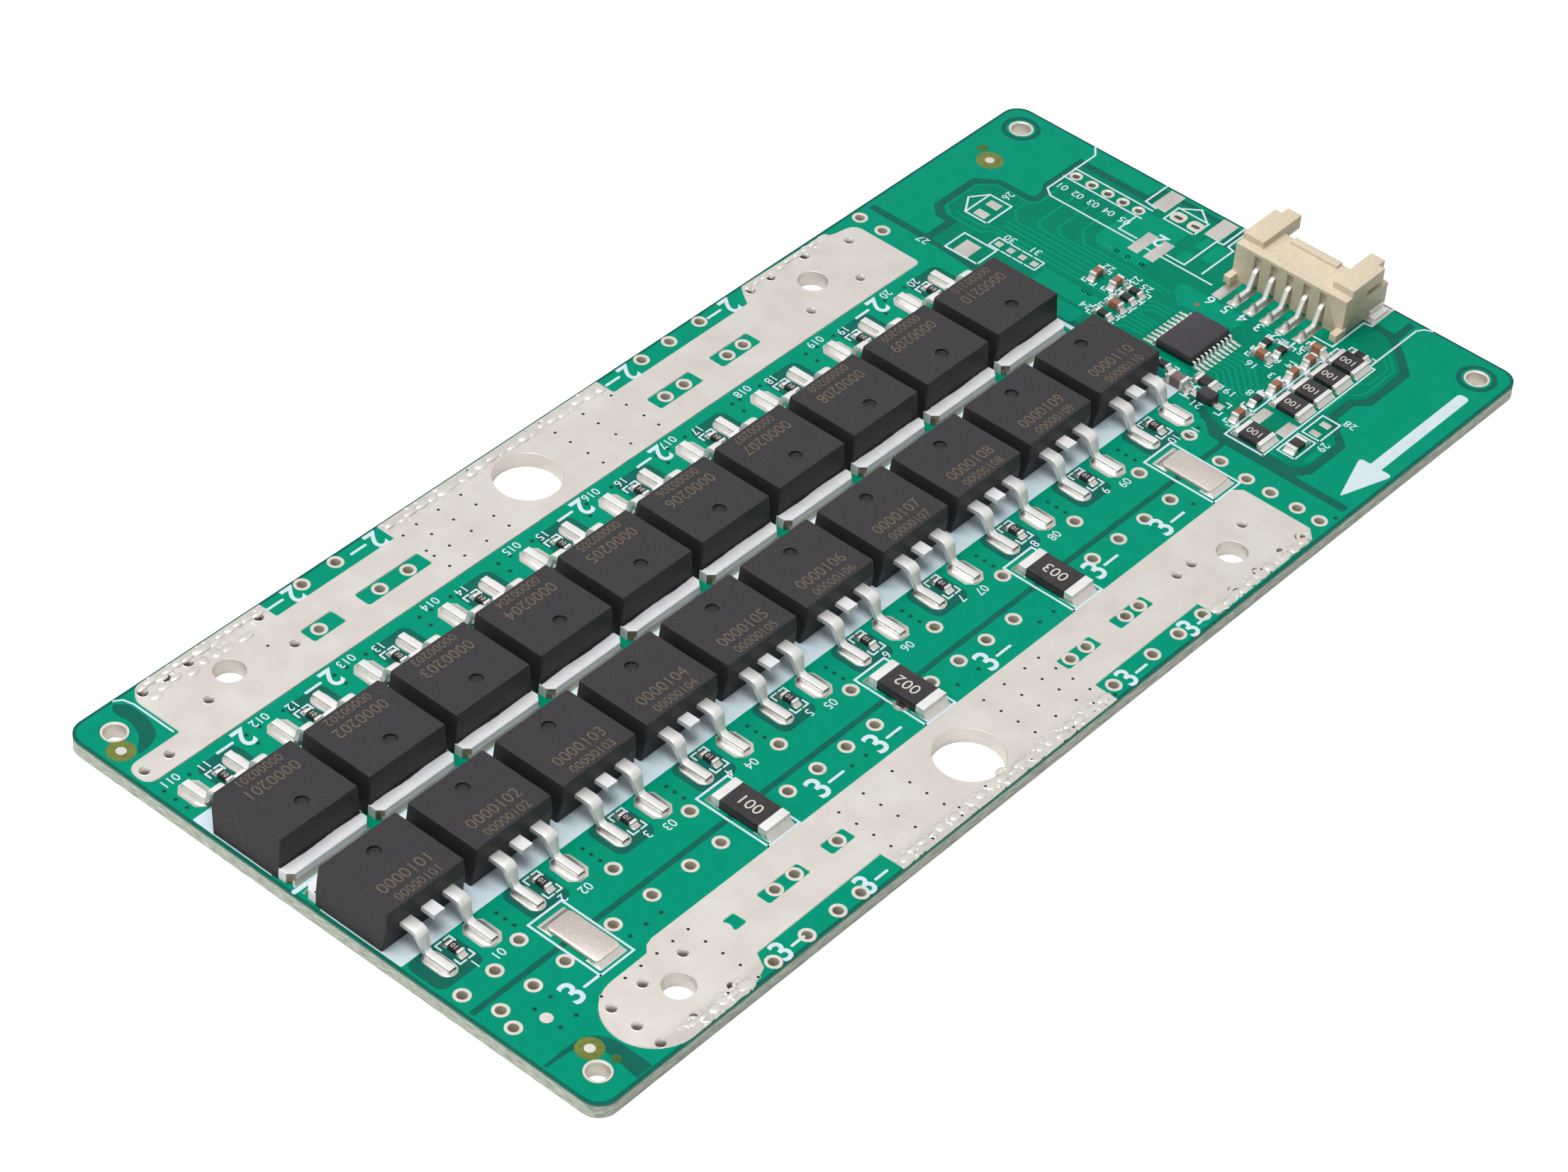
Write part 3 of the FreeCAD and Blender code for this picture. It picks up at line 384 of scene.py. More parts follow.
def plate(outer, holes, low, high, slope=0.0):
    """A flat plate with holes: its top is filled with triangles, and its walls lean in by the slope."""
    loops = [turned(outer, True)] + [turned(hole, False) for hole in holes]
    flat, triangles = filled([moved_in(loop, slope) if slope else loop for loop in loops])
    count = len(flat)
    points = np.concatenate([raised(flat, high), raised(np.concatenate(loops), low)])
    walls = []
    start = 0
    for loop in loops:
        ring = np.arange(len(loop)) + start
        after = np.roll(ring, -1)
        walls.append(np.stack([ring + count, after + count, after, ring], -1))
        start += len(loop)
    return points, triangles, triangles[:, ::-1] + count, walls[0], walls[1:]


def add_plate(gathered, outer, holes=(), low=0.0, high=COPPER, slope=0.02):
    """Adds a plate without its underside."""
    points, top, _, wall, hole_walls = plate(outer, holes, low, high, slope)
    gathered.add(points, [top, wall] + hole_walls)


def ribbon(path, width, low, high, slope=0.02):
    """A raised line: four points across the path at each of its points, along the mitre between its
    neighbours. Its round ends follow a sine along the path and a cosine across it."""
    path = np.asarray(path, float)
    swing = np.radians([80.0, 55.0, 25.0])
    first = path[0] - path[1]
    last = path[-1] - path[-2]
    reach = np.sin(swing)[:, None] * width / 2
    half = np.concatenate([np.cos(swing) * width / 2, np.full(len(path), width / 2),
                           np.cos(swing[::-1]) * width / 2])
    path = np.concatenate([path[0] + first / np.linalg.norm(first) * reach, path,
                           path[-1] + last / np.linalg.norm(last) * reach[::-1]])
    step = np.diff(path, axis=0)
    step = step / np.maximum(np.linalg.norm(step, axis=1), 1e-9)[:, None]
    before = np.vstack([step[:1], step])
    after = np.vstack([step, step[-1:]])
    normal = np.stack([-(before + after)[:, 1], (before + after)[:, 0]], -1)
    normal = normal / np.maximum(np.sum(normal ** 2, 1) / 2, 0.4)[:, None]
    rows = [raised(path + side * normal * (half + (slope if level == low else 0.0))[:, None], level)
            for side, level in ((1, low), (1, high), (-1, high), (-1, low))]
    return np.stack(rows, 1).reshape(-1, 3), grid_faces(len(path), 4, closed=False)[:, ::-1]


def lathe(profile, across, along, steps=20):
    """A profile of (radius, height) points carried round an upright axis."""
    profile = np.asarray(profile, float)
    angle = equal_angles(steps)
    x = across + profile[:, :1] * np.cos(angle)
    y = along + profile[:, :1] * np.sin(angle)
    z = np.repeat(profile[:, 1:], steps, 1)
    return np.stack([x, y, z], -1).reshape(-1, 3), grid_faces(len(profile), steps)


def box_rings(across, along, half_x, half_y, low, high, edge, corner_steps=2):
    """Rings of a block with rounded upright corners, whose top edge is a quarter circle."""
    swing = np.linspace(0, math.pi / 2, 4)
    inset = np.concatenate([[0.0], edge * (1 - np.cos(swing))])
    level = np.concatenate([[low], high - edge + edge * np.sin(swing)])
    return [raised(rounded(across, along, half_x - step, half_y - step, max(edge - 0.6 * step, 0.01),
                           corner_steps), height)
            for step, height in zip(inset, level)]


def mound(pad, core, low, high, steps=6):
    """Solder that climbs from a pad's outline to a part: rings that blend from one outline to the other
    while the height rises as a power of the blend, which hollows the fillet."""
    blend = np.linspace(0, 1, steps + 1)[:, None, None]
    flat = pad * (1 - blend) + core * blend
    level = low + (high - low) * np.broadcast_to(blend ** 1.7, flat.shape[:2] + (1,))
    first = np.concatenate([pad, np.zeros((len(pad), 1))], 1)[None]
    return np.concatenate([first, np.concatenate([flat, level], 2)])


def swept(path, half_width, half_thickness, edge):
    """A bar bent in an upright plane. The path gives its middle line as (along, up); at each point a
    rounded rectangle stands across it, half_width to each side along X."""
    path = np.asarray(path, float)
    step = np.gradient(path, axis=0)
    step = step / np.linalg.norm(step, axis=1)[:, None]
    up = np.stack([-step[:, 1], step[:, 0]], -1)
    half_width = np.broadcast_to(half_width, len(path))
    half_thickness = np.broadcast_to(half_thickness, len(path))
    unit = rounded(0, 0, 1, 1, 0.0, 2)
    angle = (np.arange(4)[:, None] * math.pi / 2 + np.linspace(0, math.pi / 2, 3)).ravel()
    round_x = edge * (np.cos(angle) - np.sign(unit[:, 0]))
    round_y = edge * (np.sin(angle) - np.sign(unit[:, 1]))
    x = half_width[:, None] * unit[:, 0] + round_x
    rise = half_thickness[:, None] * unit[:, 1] + round_y
    y = path[:, :1] + up[:, :1] * rise
    z = path[:, 1:] + up[:, 1:] * rise
    return np.stack([x, y, z], -1)


def softened(node, name, width, materials, steps=2):
    """A copy of a CAD node with its corners merged, its flat faces whole and its edges rounded by a
    width in millimetres."""
    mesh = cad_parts[node].data.copy()
    mesh.name = name
    work = bmesh.new()
    work.from_mesh(mesh)
    bmesh.ops.remove_doubles(work, verts=work.verts, dist=1e-6)
    bmesh.ops.dissolve_limit(work, angle_limit=0.02, verts=work.verts, edges=work.edges)
    bmesh.ops.recalc_face_normals(work, faces=work.faces)
    sharp = [edge for edge in work.edges if edge.is_manifold and edge.calc_face_angle() > 0.45]
    bmesh.ops.bevel(work, geom=sharp, offset=width / 1000, segments=steps, profile=0.5, affect="EDGES",
                    clamp_overlap=True)
    for face in work.faces:
        face.material_index = 0
        face.smooth = True
    work.to_mesh(mesh)
    work.free()
    mesh.materials.clear()
    for material in materials:
        mesh.materials.append(material)
    mesh.set_sharp_from_angle(angle=math.radians(35))
    made = bpy.data.objects.new(name, mesh)
    bpy.context.scene.collection.objects.link(made)
    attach(made, "root")
    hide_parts(node)


glyphs = {}
# The height of the built-in font's numbers, as a part of its size
FIGURE = 0.7


def text_shape(text, height, weight=0.0):
    """Flat triangles of some numbers, centred on the origin, from the plain built-in font, with strokes
    thickened by a weight."""
    key = (text, height, weight)
    if key not in glyphs:
        curve = bpy.data.curves.new("numbers", "FONT")
        curve.body = text
        curve.align_x = "CENTER"
        curve.align_y = "CENTER"
        curve.size = height / FIGURE
        curve.offset = weight
        curve.resolution_u = 3
        holder = bpy.data.objects.new("numbers", curve)
        mesh = bpy.data.meshes.new_from_object(holder)
        mesh.calc_loop_triangles()
        points = np.array([vertex.co for vertex in mesh.vertices])
        faces = np.array([triangle.vertices for triangle in mesh.loop_triangles])
        bpy.data.objects.remove(holder)
        glyphs[key] = (points, faces)
    return glyphs[key]


def add_text(gathered, text, across, along, level, height, turn=0, mark=0, weight=0.0):
    """Numbers on a level face, turned by degrees about the upright axis."""
    points, faces = text_shape(text, height, weight)
    angle = math.radians(turn)
    spin = np.array([[math.cos(angle), math.sin(angle)], [-math.sin(angle), math.cos(angle)]])
    gathered.add(raised(points[:, :2] @ spin + (across, along), level), faces, mark)


# Places shared by the layers

# The power devices stand in two facing rows: the near row has turn 1, and the far row is the near one
# half turned about the middle between them, with turn -1
PITCH = 10.737
FIRST = 2.22
MIRROR = 32.05
IN_ROW = 10
LEFT, RIGHT, LOW, HIGH = -3.175, 130.175, -3.175, 60.325


def beside_device(index, turn, x, y):
    """A place in the near row, x from its device's centre line, or the same place in the far row."""
    return FIRST + index * PITCH + turn * x, MIRROR + turn * (y - MIRROR)


CORNER_HOLES = [(0, 0), (127, 0), (0, 57.15), (127, 57.15)]
LUG_HOLES = [(50.55, 1.9), (50.55, 55.2)]
WIRE_HOLES = [(11.76, 1.65), (89.12, 1.65), (12.48, 55.7), (92.16, 55.7)]

# Plated holes with a tinned ring of their own, in green
RING_VIAS = [(x, 14.8) for x in (6.35, 18.1, 27.95, 39.75, 49.6, 61.4, 71.3, 82.1, 92.0, 99.9)]
RING_VIAS += [(-1.6, 13.8), (2.35, 13.8), (-1.3, 8.25)]
RING_VIAS += [(x, 10.35) for x in (-0.6, 3.35, 7.25, 13.2, 18.1, 23.0, 26.95, 35.8, 39.8, 43.7, 47.65, 51.3,
                                   55.5, 59.45, 63.4, 67.35, 79.1, 83.05, 87.05, 91.0, 98.9)]
RING_VIAS += [(98.6, y) for y in (7.0, 4.2, 1.05, -1.55)]
RING_VIAS += [(x, 3.3) for x in (19.3, 25.9, 28.5, 34.2, 66.8, 69.1, 74.95, 76.95)]
RING_VIAS += [(x, -2.2) for x in (19.4, 23.75, 27.8, 30.8)]
RING_VIAS += [(x, -1.65) for x in (66.85, 72.6, 76.5, 80.2)]
RING_VIAS += [(x, 59.35) for x in (25.1, 29.4, 71.0, 75.0, 79.4)]
RING_VIAS += [(97.15, 59.1), (103.45, 59.1), (103.45, 56.15)]
RING_VIAS += [(21.95, 54.0), (29.65, 53.95), (33.3, 53.95), (68.5, 54.0), (71.15, 54.0), (77.45, 54.0),
              (79.75, 54.0)]
# Plated holes inside the tinned strips
BATTERY_VIAS = [(82.75, 3.3), (85.0, 3.3), (92.9, 3.3), (5.9, 3.9), (9.8, 3.95), (14.8, 3.9), (5.9, 1.05),
                (5.85, -1.6), (10.0, -1.7), (14.85, -1.6), (84.85, -1.65), (88.6, -1.65), (92.5, -1.6),
                (95.35, -1.6)]
PACK_VIAS = [(5.1, 59.0), (7.85, 59.0), (10.6, 59.0), (19.2, 58.9), (86.6, 59.0), (89.6, 59.0), (94.6, 58.9),
             (99.7, 57.4), (8.55, 54.25), (19.0, 54.1), (-1.6, 50.8 + 0.9), (1.35, 50.8 + 0.9), (88.45, 52.7),
             (95.9, 52.7)]
HEADER_HOLES = [(124.65, y) for y in (48.05, 46.0, 43.95, 42.0, 40.0)]
OVAL_HOLES = [(126.7, 36.45), (126.7, 34.3)]
VIA_RADIUS = 0.5
RING_RADIUS = 0.84
CORNER_RADIUS = 1.05
LUG_RADIUS = 3.4
WIRE_RADIUS = 1.53
HEADER_RADIUS = 0.4
# The gate resistor beside each device
GATE_X, GATE_Y = -0.47, 17.85
SENSE_X = [10.15 + 21.37 * index for index in range(5)]
SENSE_Y = 11.0


# The board: laminate, copper under mask, legend

board_holes = [circle(x, y, CORNER_RADIUS, 28) for x, y in CORNER_HOLES]
board_holes += [circle(x, y, LUG_RADIUS, 56) for x, y in LUG_HOLES]
board_holes += [circle(x, y, WIRE_RADIUS, 36) for x, y in WIRE_HOLES]
board_holes += [circle(x, y, VIA_RADIUS, 12) for x, y in RING_VIAS + BATTERY_VIAS + PACK_VIAS]
board_holes += [circle(x, y, HEADER_RADIUS, 12) for x, y in HEADER_HOLES]
board_holes += [rounded(x, y, 0.3, 0.5, 0.28) for x, y in OVAL_HOLES]


def board_outline(inset, radius, steps):
    """The board's outline moved in from its edge, with a corner radius."""
    return rounded((LEFT + RIGHT) / 2, (LOW + HIGH) / 2, (RIGHT - LEFT) / 2 - inset, (HIGH - LOW) / 2 - inset,
                   radius, steps)


board = Gather()
points, top, bottom, wall, hole_walls = plate(board_outline(0.0, 2.0, 8), board_holes, -BOARD + 0.02, 0.0)
board.extend(points, [(top, 0), (bottom, 1), (wall, 2)] + [(block, 3) for block in hole_walls])
piece("laminate_core", board, [mask_bare, mask_inner, laminate, tin_ring], ["circuit_board"])

# Copper under the mask: one sheet, with the places that hold no copper cut out
CONTROL_ZONE = [(102.2, -2.4), (102.2, 4.0), (103.6, 3.0), (109.2, 3.0), (110.4, 4.3), (110.8, 4.9),
                (111.6, 5.2), (112.1, 6.1), (114.9, 6.1), (116.1, 4.9), (122.6, 4.9), (123.8, 6.0),
                (125.9, 8.3), (126.4, 9.0), (129.5, 9.0), (129.5, 9.8), (127.0, 9.8), (127.0, 30.0),
                (129.5, 30.0), (129.5, 40.6), (127.4, 40.8), (127.4, 49.6), (121.2, 49.6), (120.2, 49.0),
                (118.9, 48.9), (118.7, 49.5), (118.7, 53.0), (116.9, 55.3), (110.6, 55.3), (109.3, 54.0),
                (109.2, 52.7), (106.2, 52.7), (106.2, 59.5), (105.3, 59.5), (105.3, 50.0), (104.9, 45.0),
                (104.9, 19.6), (102.6, 14.9), (101.2, 13.4), (101.2, 12.05), (-2.6, 12.05), (-2.6, 11.5),
                (101.2, 11.5), (101.2, -2.4)]
bare_zones = [soft_loop(CONTROL_ZONE, 0.15, 2)]
for index in range(IN_ROW):
    x, y = beside_device(index, 1, -1.72, 17.375)
    near_zone = rounded(x, y, 2.35, 2.175, 0.9, 4)
    far_zone = np.array([2 * (FIRST + index * PITCH), 2 * MIRROR]) - near_zone
    # The first near zone reaches the edge of the copper
    bare_zones += [near_zone if index else rounded(0.15, y, 2.7, 2.175, 0.9, 4), far_zone]
bare_zones.append(soft_loop([(3.65, -2.75), (3.65, 1.3), (2.9, 2.9), (1.5, 3.6), (-2.65, 3.6), (-2.65, 3.3),
                             (0.6, 3.1), (1.7, 2.2), (2.1, 0.6), (1.7, -2.75)],
                            [0.1, 0.8, 0.8, 0.6, 0.1, 0.1, 0.6, 0.6, 0.6, 0.1]))
bare_zones.append(soft_loop([(3.3, 56.5), (3.3, 58.9), (2.2, 59.9), (1.6, 59.0), (1.9, 57.0), (1.2, 55.2),
                             (0.2, 54.4), (-0.6, 53.65), (0.9, 53.65), (2.5, 54.4)], 0.6))
NEAR_CORNERS, FAR_CORNERS = CORNER_HOLES[::2], CORNER_HOLES[1::2]
copper_holes = bare_zones + [circle(x, y, 1.34, 28) for x, y in NEAR_CORNERS]
copper_holes += [circle(x, y, 2.05, 32) for x, y in FAR_CORNERS]
copper_holes += [circle(x, y, LUG_RADIUS + 0.1, 56) for x, y in LUG_HOLES]
copper_holes += [circle(x, y, WIRE_RADIUS + 0.07, 36) for x, y in WIRE_HOLES]
copper_holes += [circle(x, y, VIA_RADIUS + 0.04, 12) for x, y in RING_VIAS + BATTERY_VIAS + PACK_VIAS]
copper = Gather()
add_plate(copper, board_outline(0.3, 1.8, 6), copper_holes, slope=0.03)

# The far corner holes keep a narrow ring of copper inside their bare one
for x, y in FAR_CORNERS:
    copper.add(*lathe([(1.55, 0.0), (1.53, COPPER), (1.2, COPPER)], x, y, 28))
piece("mask_over_copper", copper, [mask_copper])

# The control corner: a deeper green field with brighter islands and traces
FIELD = [(103.1, 13.6), (103.1, 5.0), (104.2, 3.9), (109.0, 3.9), (109.9, 5.0), (110.6, 5.9), (111.3, 6.2),
         (111.9, 7.0), (115.3, 7.0), (116.6, 5.8), (122.2, 5.8), (123.2, 6.7), (125.3, 9.0), (126.1, 10.3),
         (126.1, 30.6), (126.6, 30.9), (128.8, 30.9), (128.8, 39.9), (126.5, 39.9), (126.5, 48.7),
         (121.5, 48.7), (120.4, 48.1), (118.5, 48.0), (117.8, 48.9), (117.8, 52.7), (116.5, 54.4),
         (111.0, 54.4), (110.2, 53.6), (110.1, 51.8), (106.0, 51.8), (105.8, 45.0), (105.8, 19.3),
         (103.5, 14.6)]
TRACES = [[(111.4, 27.6), (111.4, 48.0), (110.3, 49.2), (110.3, 53.0), (111.3, 54.3), (116.2, 54.3),
           (117.7, 52.8), (117.7, 48.6), (118.4, 48.0), (123.4, 48.0)],
          [(115.1, 30.8), (115.1, 45.2), (116.0, 46.0), (123.7, 46.0)],
          [(115.7, 30.2), (115.7, 43.1), (116.6, 44.0), (123.7, 44.0)],
          [(116.3, 29.6), (116.3, 40.5), (118.0, 42.05), (123.7, 42.05)],
          [(112.75, 27.6), (112.75, 28.9), (112.0, 29.9), (112.0, 48.6), (111.2, 49.5), (111.2, 52.9)],
          [(113.4, 27.6), (113.4, 29.4), (112.8, 30.2), (112.9, 33.0), (112.9, 48.0)],
          [(114.05, 27.6), (114.05, 29.6), (113.6, 30.4), (113.6, 48.4)],
          [(110.8, 27.6), (110.8, 30.9)], [(110.15, 27.6), (110.15, 30.9)],
          [(114.3, 31.0), (114.3, 47.6), (115.6, 48.8), (117.2, 48.8)],
          [(108.9, 27.5), (108.9, 29.5), (108.2, 30.2), (108.2, 31.0)],
          [(109.5, 27.6), (109.5, 30.2)]]
for index in range(7):
    start_x = 109.3 + 0.65 * index
    bend = 18.6 - 0.25 * index
    run = 2.4 + 0.12 * index
    TRACES.append([(start_x, 19.3), (start_x, bend), (start_x - run, bend - run), (start_x - run, 14.7)])
for out in (0.0, 0.55, 1.1):
    TRACES.append([(103.9 + out, 14.0 + out), (103.4 + out, 12.9), (103.4 + out, 6.2 + out * 0.5)])
TRACES += [[(117.4, 14.6), (118.4, 15.6), (118.4, 19.6), (118.9, 20.0)],
           [(119.6, 15.0), (119.6, 15.6), (119.0, 16.2)],
           [(117.9, 7.8), (118.6, 7.0), (121.8, 7.0), (123.1, 8.4)],
           [(112.2, 7.7), (115.5, 7.7), (116.9, 6.4), (122.0, 6.4), (124.3, 8.7)]]
ISLANDS = [[(105.35, 33.6), (107.6, 33.6), (107.6, 44.5), (105.35, 44.5)],
           [(108.0, 33.7), (110.45, 33.7), (110.45, 41.2), (109.9, 40.6), (108.0, 40.6)],
           [(117.2, 34.0), (125.2, 34.0), (125.2, 40.6), (118.2, 40.6), (117.2, 39.6)],
           [(115.4, 21.6), (118.4, 21.6), (118.4, 29.6), (117.0, 29.6), (115.4, 28.2)],
           [(121.0, 31.5), (122.9, 31.5), (122.9, 32.6), (121.0, 32.6)],
           [(124.0, 31.5), (126.0, 31.5), (126.0, 32.4), (124.0, 32.4)],
           [(122.8, 29.3), (126.0, 29.3), (126.0, 30.8), (122.8, 30.8)],
           [(121.2, 14.8), (125.6, 14.8), (125.6, 26.0), (121.2, 26.0)],
           [(105.9, 20.6), (107.8, 20.6), (107.8, 30.6), (105.9, 30.6)],
           [(104.6, 4.1), (108.8, 4.1), (108.8, 4.8), (104.6, 4.8)]]
# The header's last hole goes through this island
PIERCED = 2
field = Gather()
field_holes = [circle(x, y, HEADER_RADIUS + 0.04, 12) for x, y in HEADER_HOLES]
field_holes += [rounded(x, y, 0.34, 0.54, 0.3) for x, y in OVAL_HOLES]
add_plate(field, soft_loop(FIELD, 0.2, 2), field_holes, slope=0.03)
piece("control_field", field, [mask_inner])

# Traces and islands stand a little over the field, so no two tops coincide
TRACE = COPPER + 0.008
traces = Gather()
for path in TRACES:
    traces.add(*ribbon(path, 0.26, 0.0, TRACE))
for index, loop in enumerate(ISLANDS):
    holes = field_holes[4:5] if index == PIERCED else []
    add_plate(traces, soft_loop(loop, 0.25, 2), holes, 0.0, TRACE, 0.03)
add_plate(traces, soft_loop([(127.9, 41.4), (129.6, 41.4), (129.6, 48.7), (127.9, 48.7)], 0.2), [], 0.0, TRACE)
piece("control_traces", traces, [mask_copper])


# Legend ink

legend = Gather()


def ink_line(path, width=0.2, closed=False):
    """A line of ink. Its height varies by a few ten-thousandths, so no two tops coincide."""
    path = np.array(path, float)
    if closed:
        path = np.vstack([path, path[:1]])
    legend.add(*ribbon(path, width, 0.0, INK + 0.0008 * (len(legend.points) % 7)))


def brackets(x, y, half_x, half_y, reach):
    """Four corner brackets round a small part at a place."""
    for corner_x, side in ((x - half_x, 1), (x + half_x, -1)):
        for corner_y, rise in ((y - half_y, 1), (y + half_y, -1)):
            ink_line([(corner_x + side * reach, corner_y), (corner_x, corner_y),
                      (corner_x, corner_y + rise * reach)], 0.16)


def ink_box(low_x, low_y, high_x, high_y, width=0.2):
    ink_line([(low_x, low_y), (high_x, low_y), (high_x, high_y), (low_x, high_y)], width, True)


def ink_text(text, x, y, height, turn, weight=0.01):
    """Numbers just over the ink's lines."""
    add_text(legend, text, x, y, INK + 0.006, height, turn, 0, weight)


# The pale blocks under the two rows of power devices, and the line between their tabs
for turn in (1, -1):
    add_plate(legend, rounded(51.025, MIRROR - turn * 7.65, 53.875, 4.8, 0.15, 2), [], 0.0, INK)
ink_line([(-2.85, MIRROR + 0.1), (104.75, MIRROR + 0.1), (104.75, 35.0)], 0.5)

for x in SENSE_X:
    ink_box(x - 2.07, 7.1, x + 2.07, 15.4, 0.22)
ink_box(102.5, 7.95, 120.95, 12.5, 0.18)
ink_box(104.2, 5.45, 107.6, 7.5, 0.18)
ink_box(108.1, 5.3, 111.5, 7.4, 0.18)
ink_box(111.9, 49.5, 115.9, 52.3)
ink_line([(111.9, 52.3), (114.0, 53.6), (115.9, 52.3)])
ink_box(106.0, 46.0, 109.1, 50.1)
ink_box(125.45, 33.6, 128.0, 37.4)
for path in ([(128.0, 37.2), (129.4, 35.5), (128.0, 33.8)],
             [(123.8, 39.0), (123.8, 49.0)],
             [(125.65, 39.0), (125.65, 49.0)],
             [(120.2, 27.4), (120.2, 47.9), (121.0, 48.9), (128.9, 48.9), (130.0, 49.75)],
             [(120.85, 37.3), (120.85, 39.6), (123.6, 39.6)],
             [(126.2, 39.0), (126.45, 40.45), (130.05, 40.45)],
             [(120.85, 33.6), (120.85, 31.3), (126.2, 31.3), (126.35, 30.5), (130.05, 30.5)],
             [(120.95, 29.15), (126.2, 29.15), (126.4, 29.95), (129.5, 29.95)],
             [(120.85, 15.3), (120.85, 13.0), (126.2, 13.0), (126.35, 12.15), (130.05, 12.15)],
             [(120.85, 8.55), (128.9, 8.55), (129.6, 8.1), (130.05, 7.35)],
             [(2.6, 60.1), (3.3, 59.6), (3.6, 58.5), (3.6, 53.6)]):
    ink_line(path)

# The arrow: its shaft and its rounded head
add_plate(legend, soft_loop([(102.8, -0.8), (108.9, -2.8), (108.9, -1.42), (123.85, -1.42), (123.85, -0.12),
                             (108.9, -0.12), (108.9, 1.15)], [0.5, 0.8, 0.04, 0.6, 0.6, 0.04, 0.8], 5),
          [], 0.0, INK)

# Brackets beside the gate resistors
for index in range(IN_ROW):
    for turn in (1, -1):
        brackets(*beside_device(index, turn, GATE_X, GATE_Y - 0.025), 0.85, 1.475, 0.7)

# Small parts on the control corner: centre, 1 where the long axis runs along Y, kind
SMALL_PARTS = [((108.7, 13.3), 0, "resistor"), ((121.4, 10.1), 1, "resistor"), ((116.4, 17.85), 0, "resistor"),
               ((116.5, 16.1), 0, "resistor"), ((106.5, 23.1), 1, "resistor"), ((108.6, 32.1), 1, "resistor"),
               ((112.2, 32.0), 1, "resistor"), ((113.6, 32.0), 1, "resistor"), ((105.5, 13.1), 0, "capacitor"),
               ((111.5, 13.1), 0, "capacitor"), ((114.35, 13.1), 0, "capacitor"),
               ((117.1, 13.1), 0, "capacitor"), ((119.1, 13.6), 1, "capacitor"),
               ((114.5, 17.0), 1, "capacitor"), ((110.4, 32.0), 1, "capacitor"),
               ((113.1, 36.4), 0, "capacitor"), ((113.3, 34.1), 0, "capacitor")]
for (x, y), upright, kind in SMALL_PARTS:
    brackets(x, y, 0.75 if upright else 1.5, 1.5 if upright else 0.75, 0.5)
brackets(105.2, 20.3, 0.95, 1.6, 0.6)
brackets(107.3, 18.4, 0.9, 1.5, 0.6)
brackets(105.35, 16.7, 1.05, 2.1, 0.6)
FOUR_LANDS = (46.5, 45.0, 43.5, 42.0)
for y in FOUR_LANDS:
    for x in (109.35, 110.95):
        ink_line([(x, y - 0.6), (x, y + 0.6)], 0.18)
for y in (41.35, 47.2):
    ink_line([(109.35, y), (110.95, y)], 0.18)

# Plain numbers and dashes where the board carries its marks, all read from the pack side
for index in range(IN_ROW):
    for turn, spots in ((1, ((-0.45, 15.55), (1.75, 14.95))), (-1, ((-0.25, 15.5), (3.1, 14.75)))):
        number = str(index + 1 + (0 if turn > 0 else IN_ROW))
        for (x, y), text in zip(spots, (number, number if index == 9 else "0" + number)):
            ink_text(text, *beside_device(index, turn, x, y), 0.95, 180)
for x, y in ((5.2, 7.3), (38.2, 8.6), (46.1, 8.6), (61.4, 8.4), (78.2, 9.1), (87.5, 8.4)):
    ink_text("3", x - 0.2, y, 2.55, 0, 0.06)
    ink_line([(x + 1.0, y - 0.1), (x + 2.9, y - 0.1)], 0.28)
for x in (21.3, 32.3, 69.0, 78.3):
    ink_text("3", x - 0.5, -2.0, 2.3, 0, 0.06)
    ink_line([(x + 0.6, -2.1), (x + 2.1, -2.1)], 0.28)
for x, y in [(x, 48.8) for x in (7.4, 18.2, 51.0, 61.9, 93.8)] + [(x, 59.0) for x in (23.6, 34.2, 68.7, 83.4)]:
    ink_text("2", x, y, 2.3, 180, 0.06)
    ink_line([(x - 1.2, y + 0.1), (x - 3.0, y + 0.1)], 0.28)
# The header's and the connector's places are numbered, and so are some of the small parts
for index in range(6):
    ink_text(str(6 - index), 118.15, 26.0 - 2 * index, 1.35, 90, 0.015)
for index in range(5):
    ink_text("0" + str(index + 1), 122.3, 48.0 - 2 * index, 0.95, 90)
for index, (x, y) in enumerate(((104.05, 12.9), (109.9, 12.9), (112.95, 14.3), (115.7, 14.3), (118.0, 14.4),
                                (112.9, 17.0), (117.9, 16.9), (109.3, 14.2), (107.9, 15.9), (103.8, 20.3),
                                (104.1, 17.2), (115.0, 36.3), (115.3, 33.2), (108.6, 34.2), (115.1, 31.6),
                                (117.0, 50.9), (105.2, 52.3), (112.2, 4.6), (107.6, 4.6), (111.6, 46.2),
                                (111.9, 43.2))):
    ink_text(str(11 + index), x, y, 0.95, 90 if index % 3 else 180)
ink_text("2", 122.3, 35.4, 1.9, 90, 0.05)
piece("legend", legend, [ink])

# Tented micro-vias: a flat dark disc of painted shade for the dimple over each hole, with a ring of thinned
# mask
GREEN_DOTS = [(1.45, 8.45), (3.4, 8.45), (1.45, 5.5), (3.35, 5.5), (65.9, -2.5), (92.05, 8.4), (100.0, -2.4),
              (101.4, 14.85), (103.0, 15.6)]
GREEN_DOTS += [(x, 8.4) for x in (13.2, 15.15, 17.1, 42.2, 44.1, 48.05, 56.9, 59.85, 62.8, 68.75, 70.75)]
GREEN_DOTS += [(7.3 + PITCH * index, y) for index in range(9) for y in (18.3, 17.3, 16.25)]
GREEN_DOTS += [(x, y) for x in (-2.1, 7.75, 18.6, 29.4, 39.75, 61.4, 72.2, 83.0) for y in (48.75, 47.3)]
GREEN_DOTS += [(x, 48.7) for x in (0.85, 9.3, 12.2, 20.1, 22.5, 30.9, 33.4, 41.25, 44.2, 51.6, 55.0, 62.9,
                                   65.35, 73.2, 76.15, 84.6, 87.1, 94.9, 97.9)]
GREEN_DOTS += [(x, 47.3) for x in (50.6, 93.4)] + [(-2.1, 45.9)]
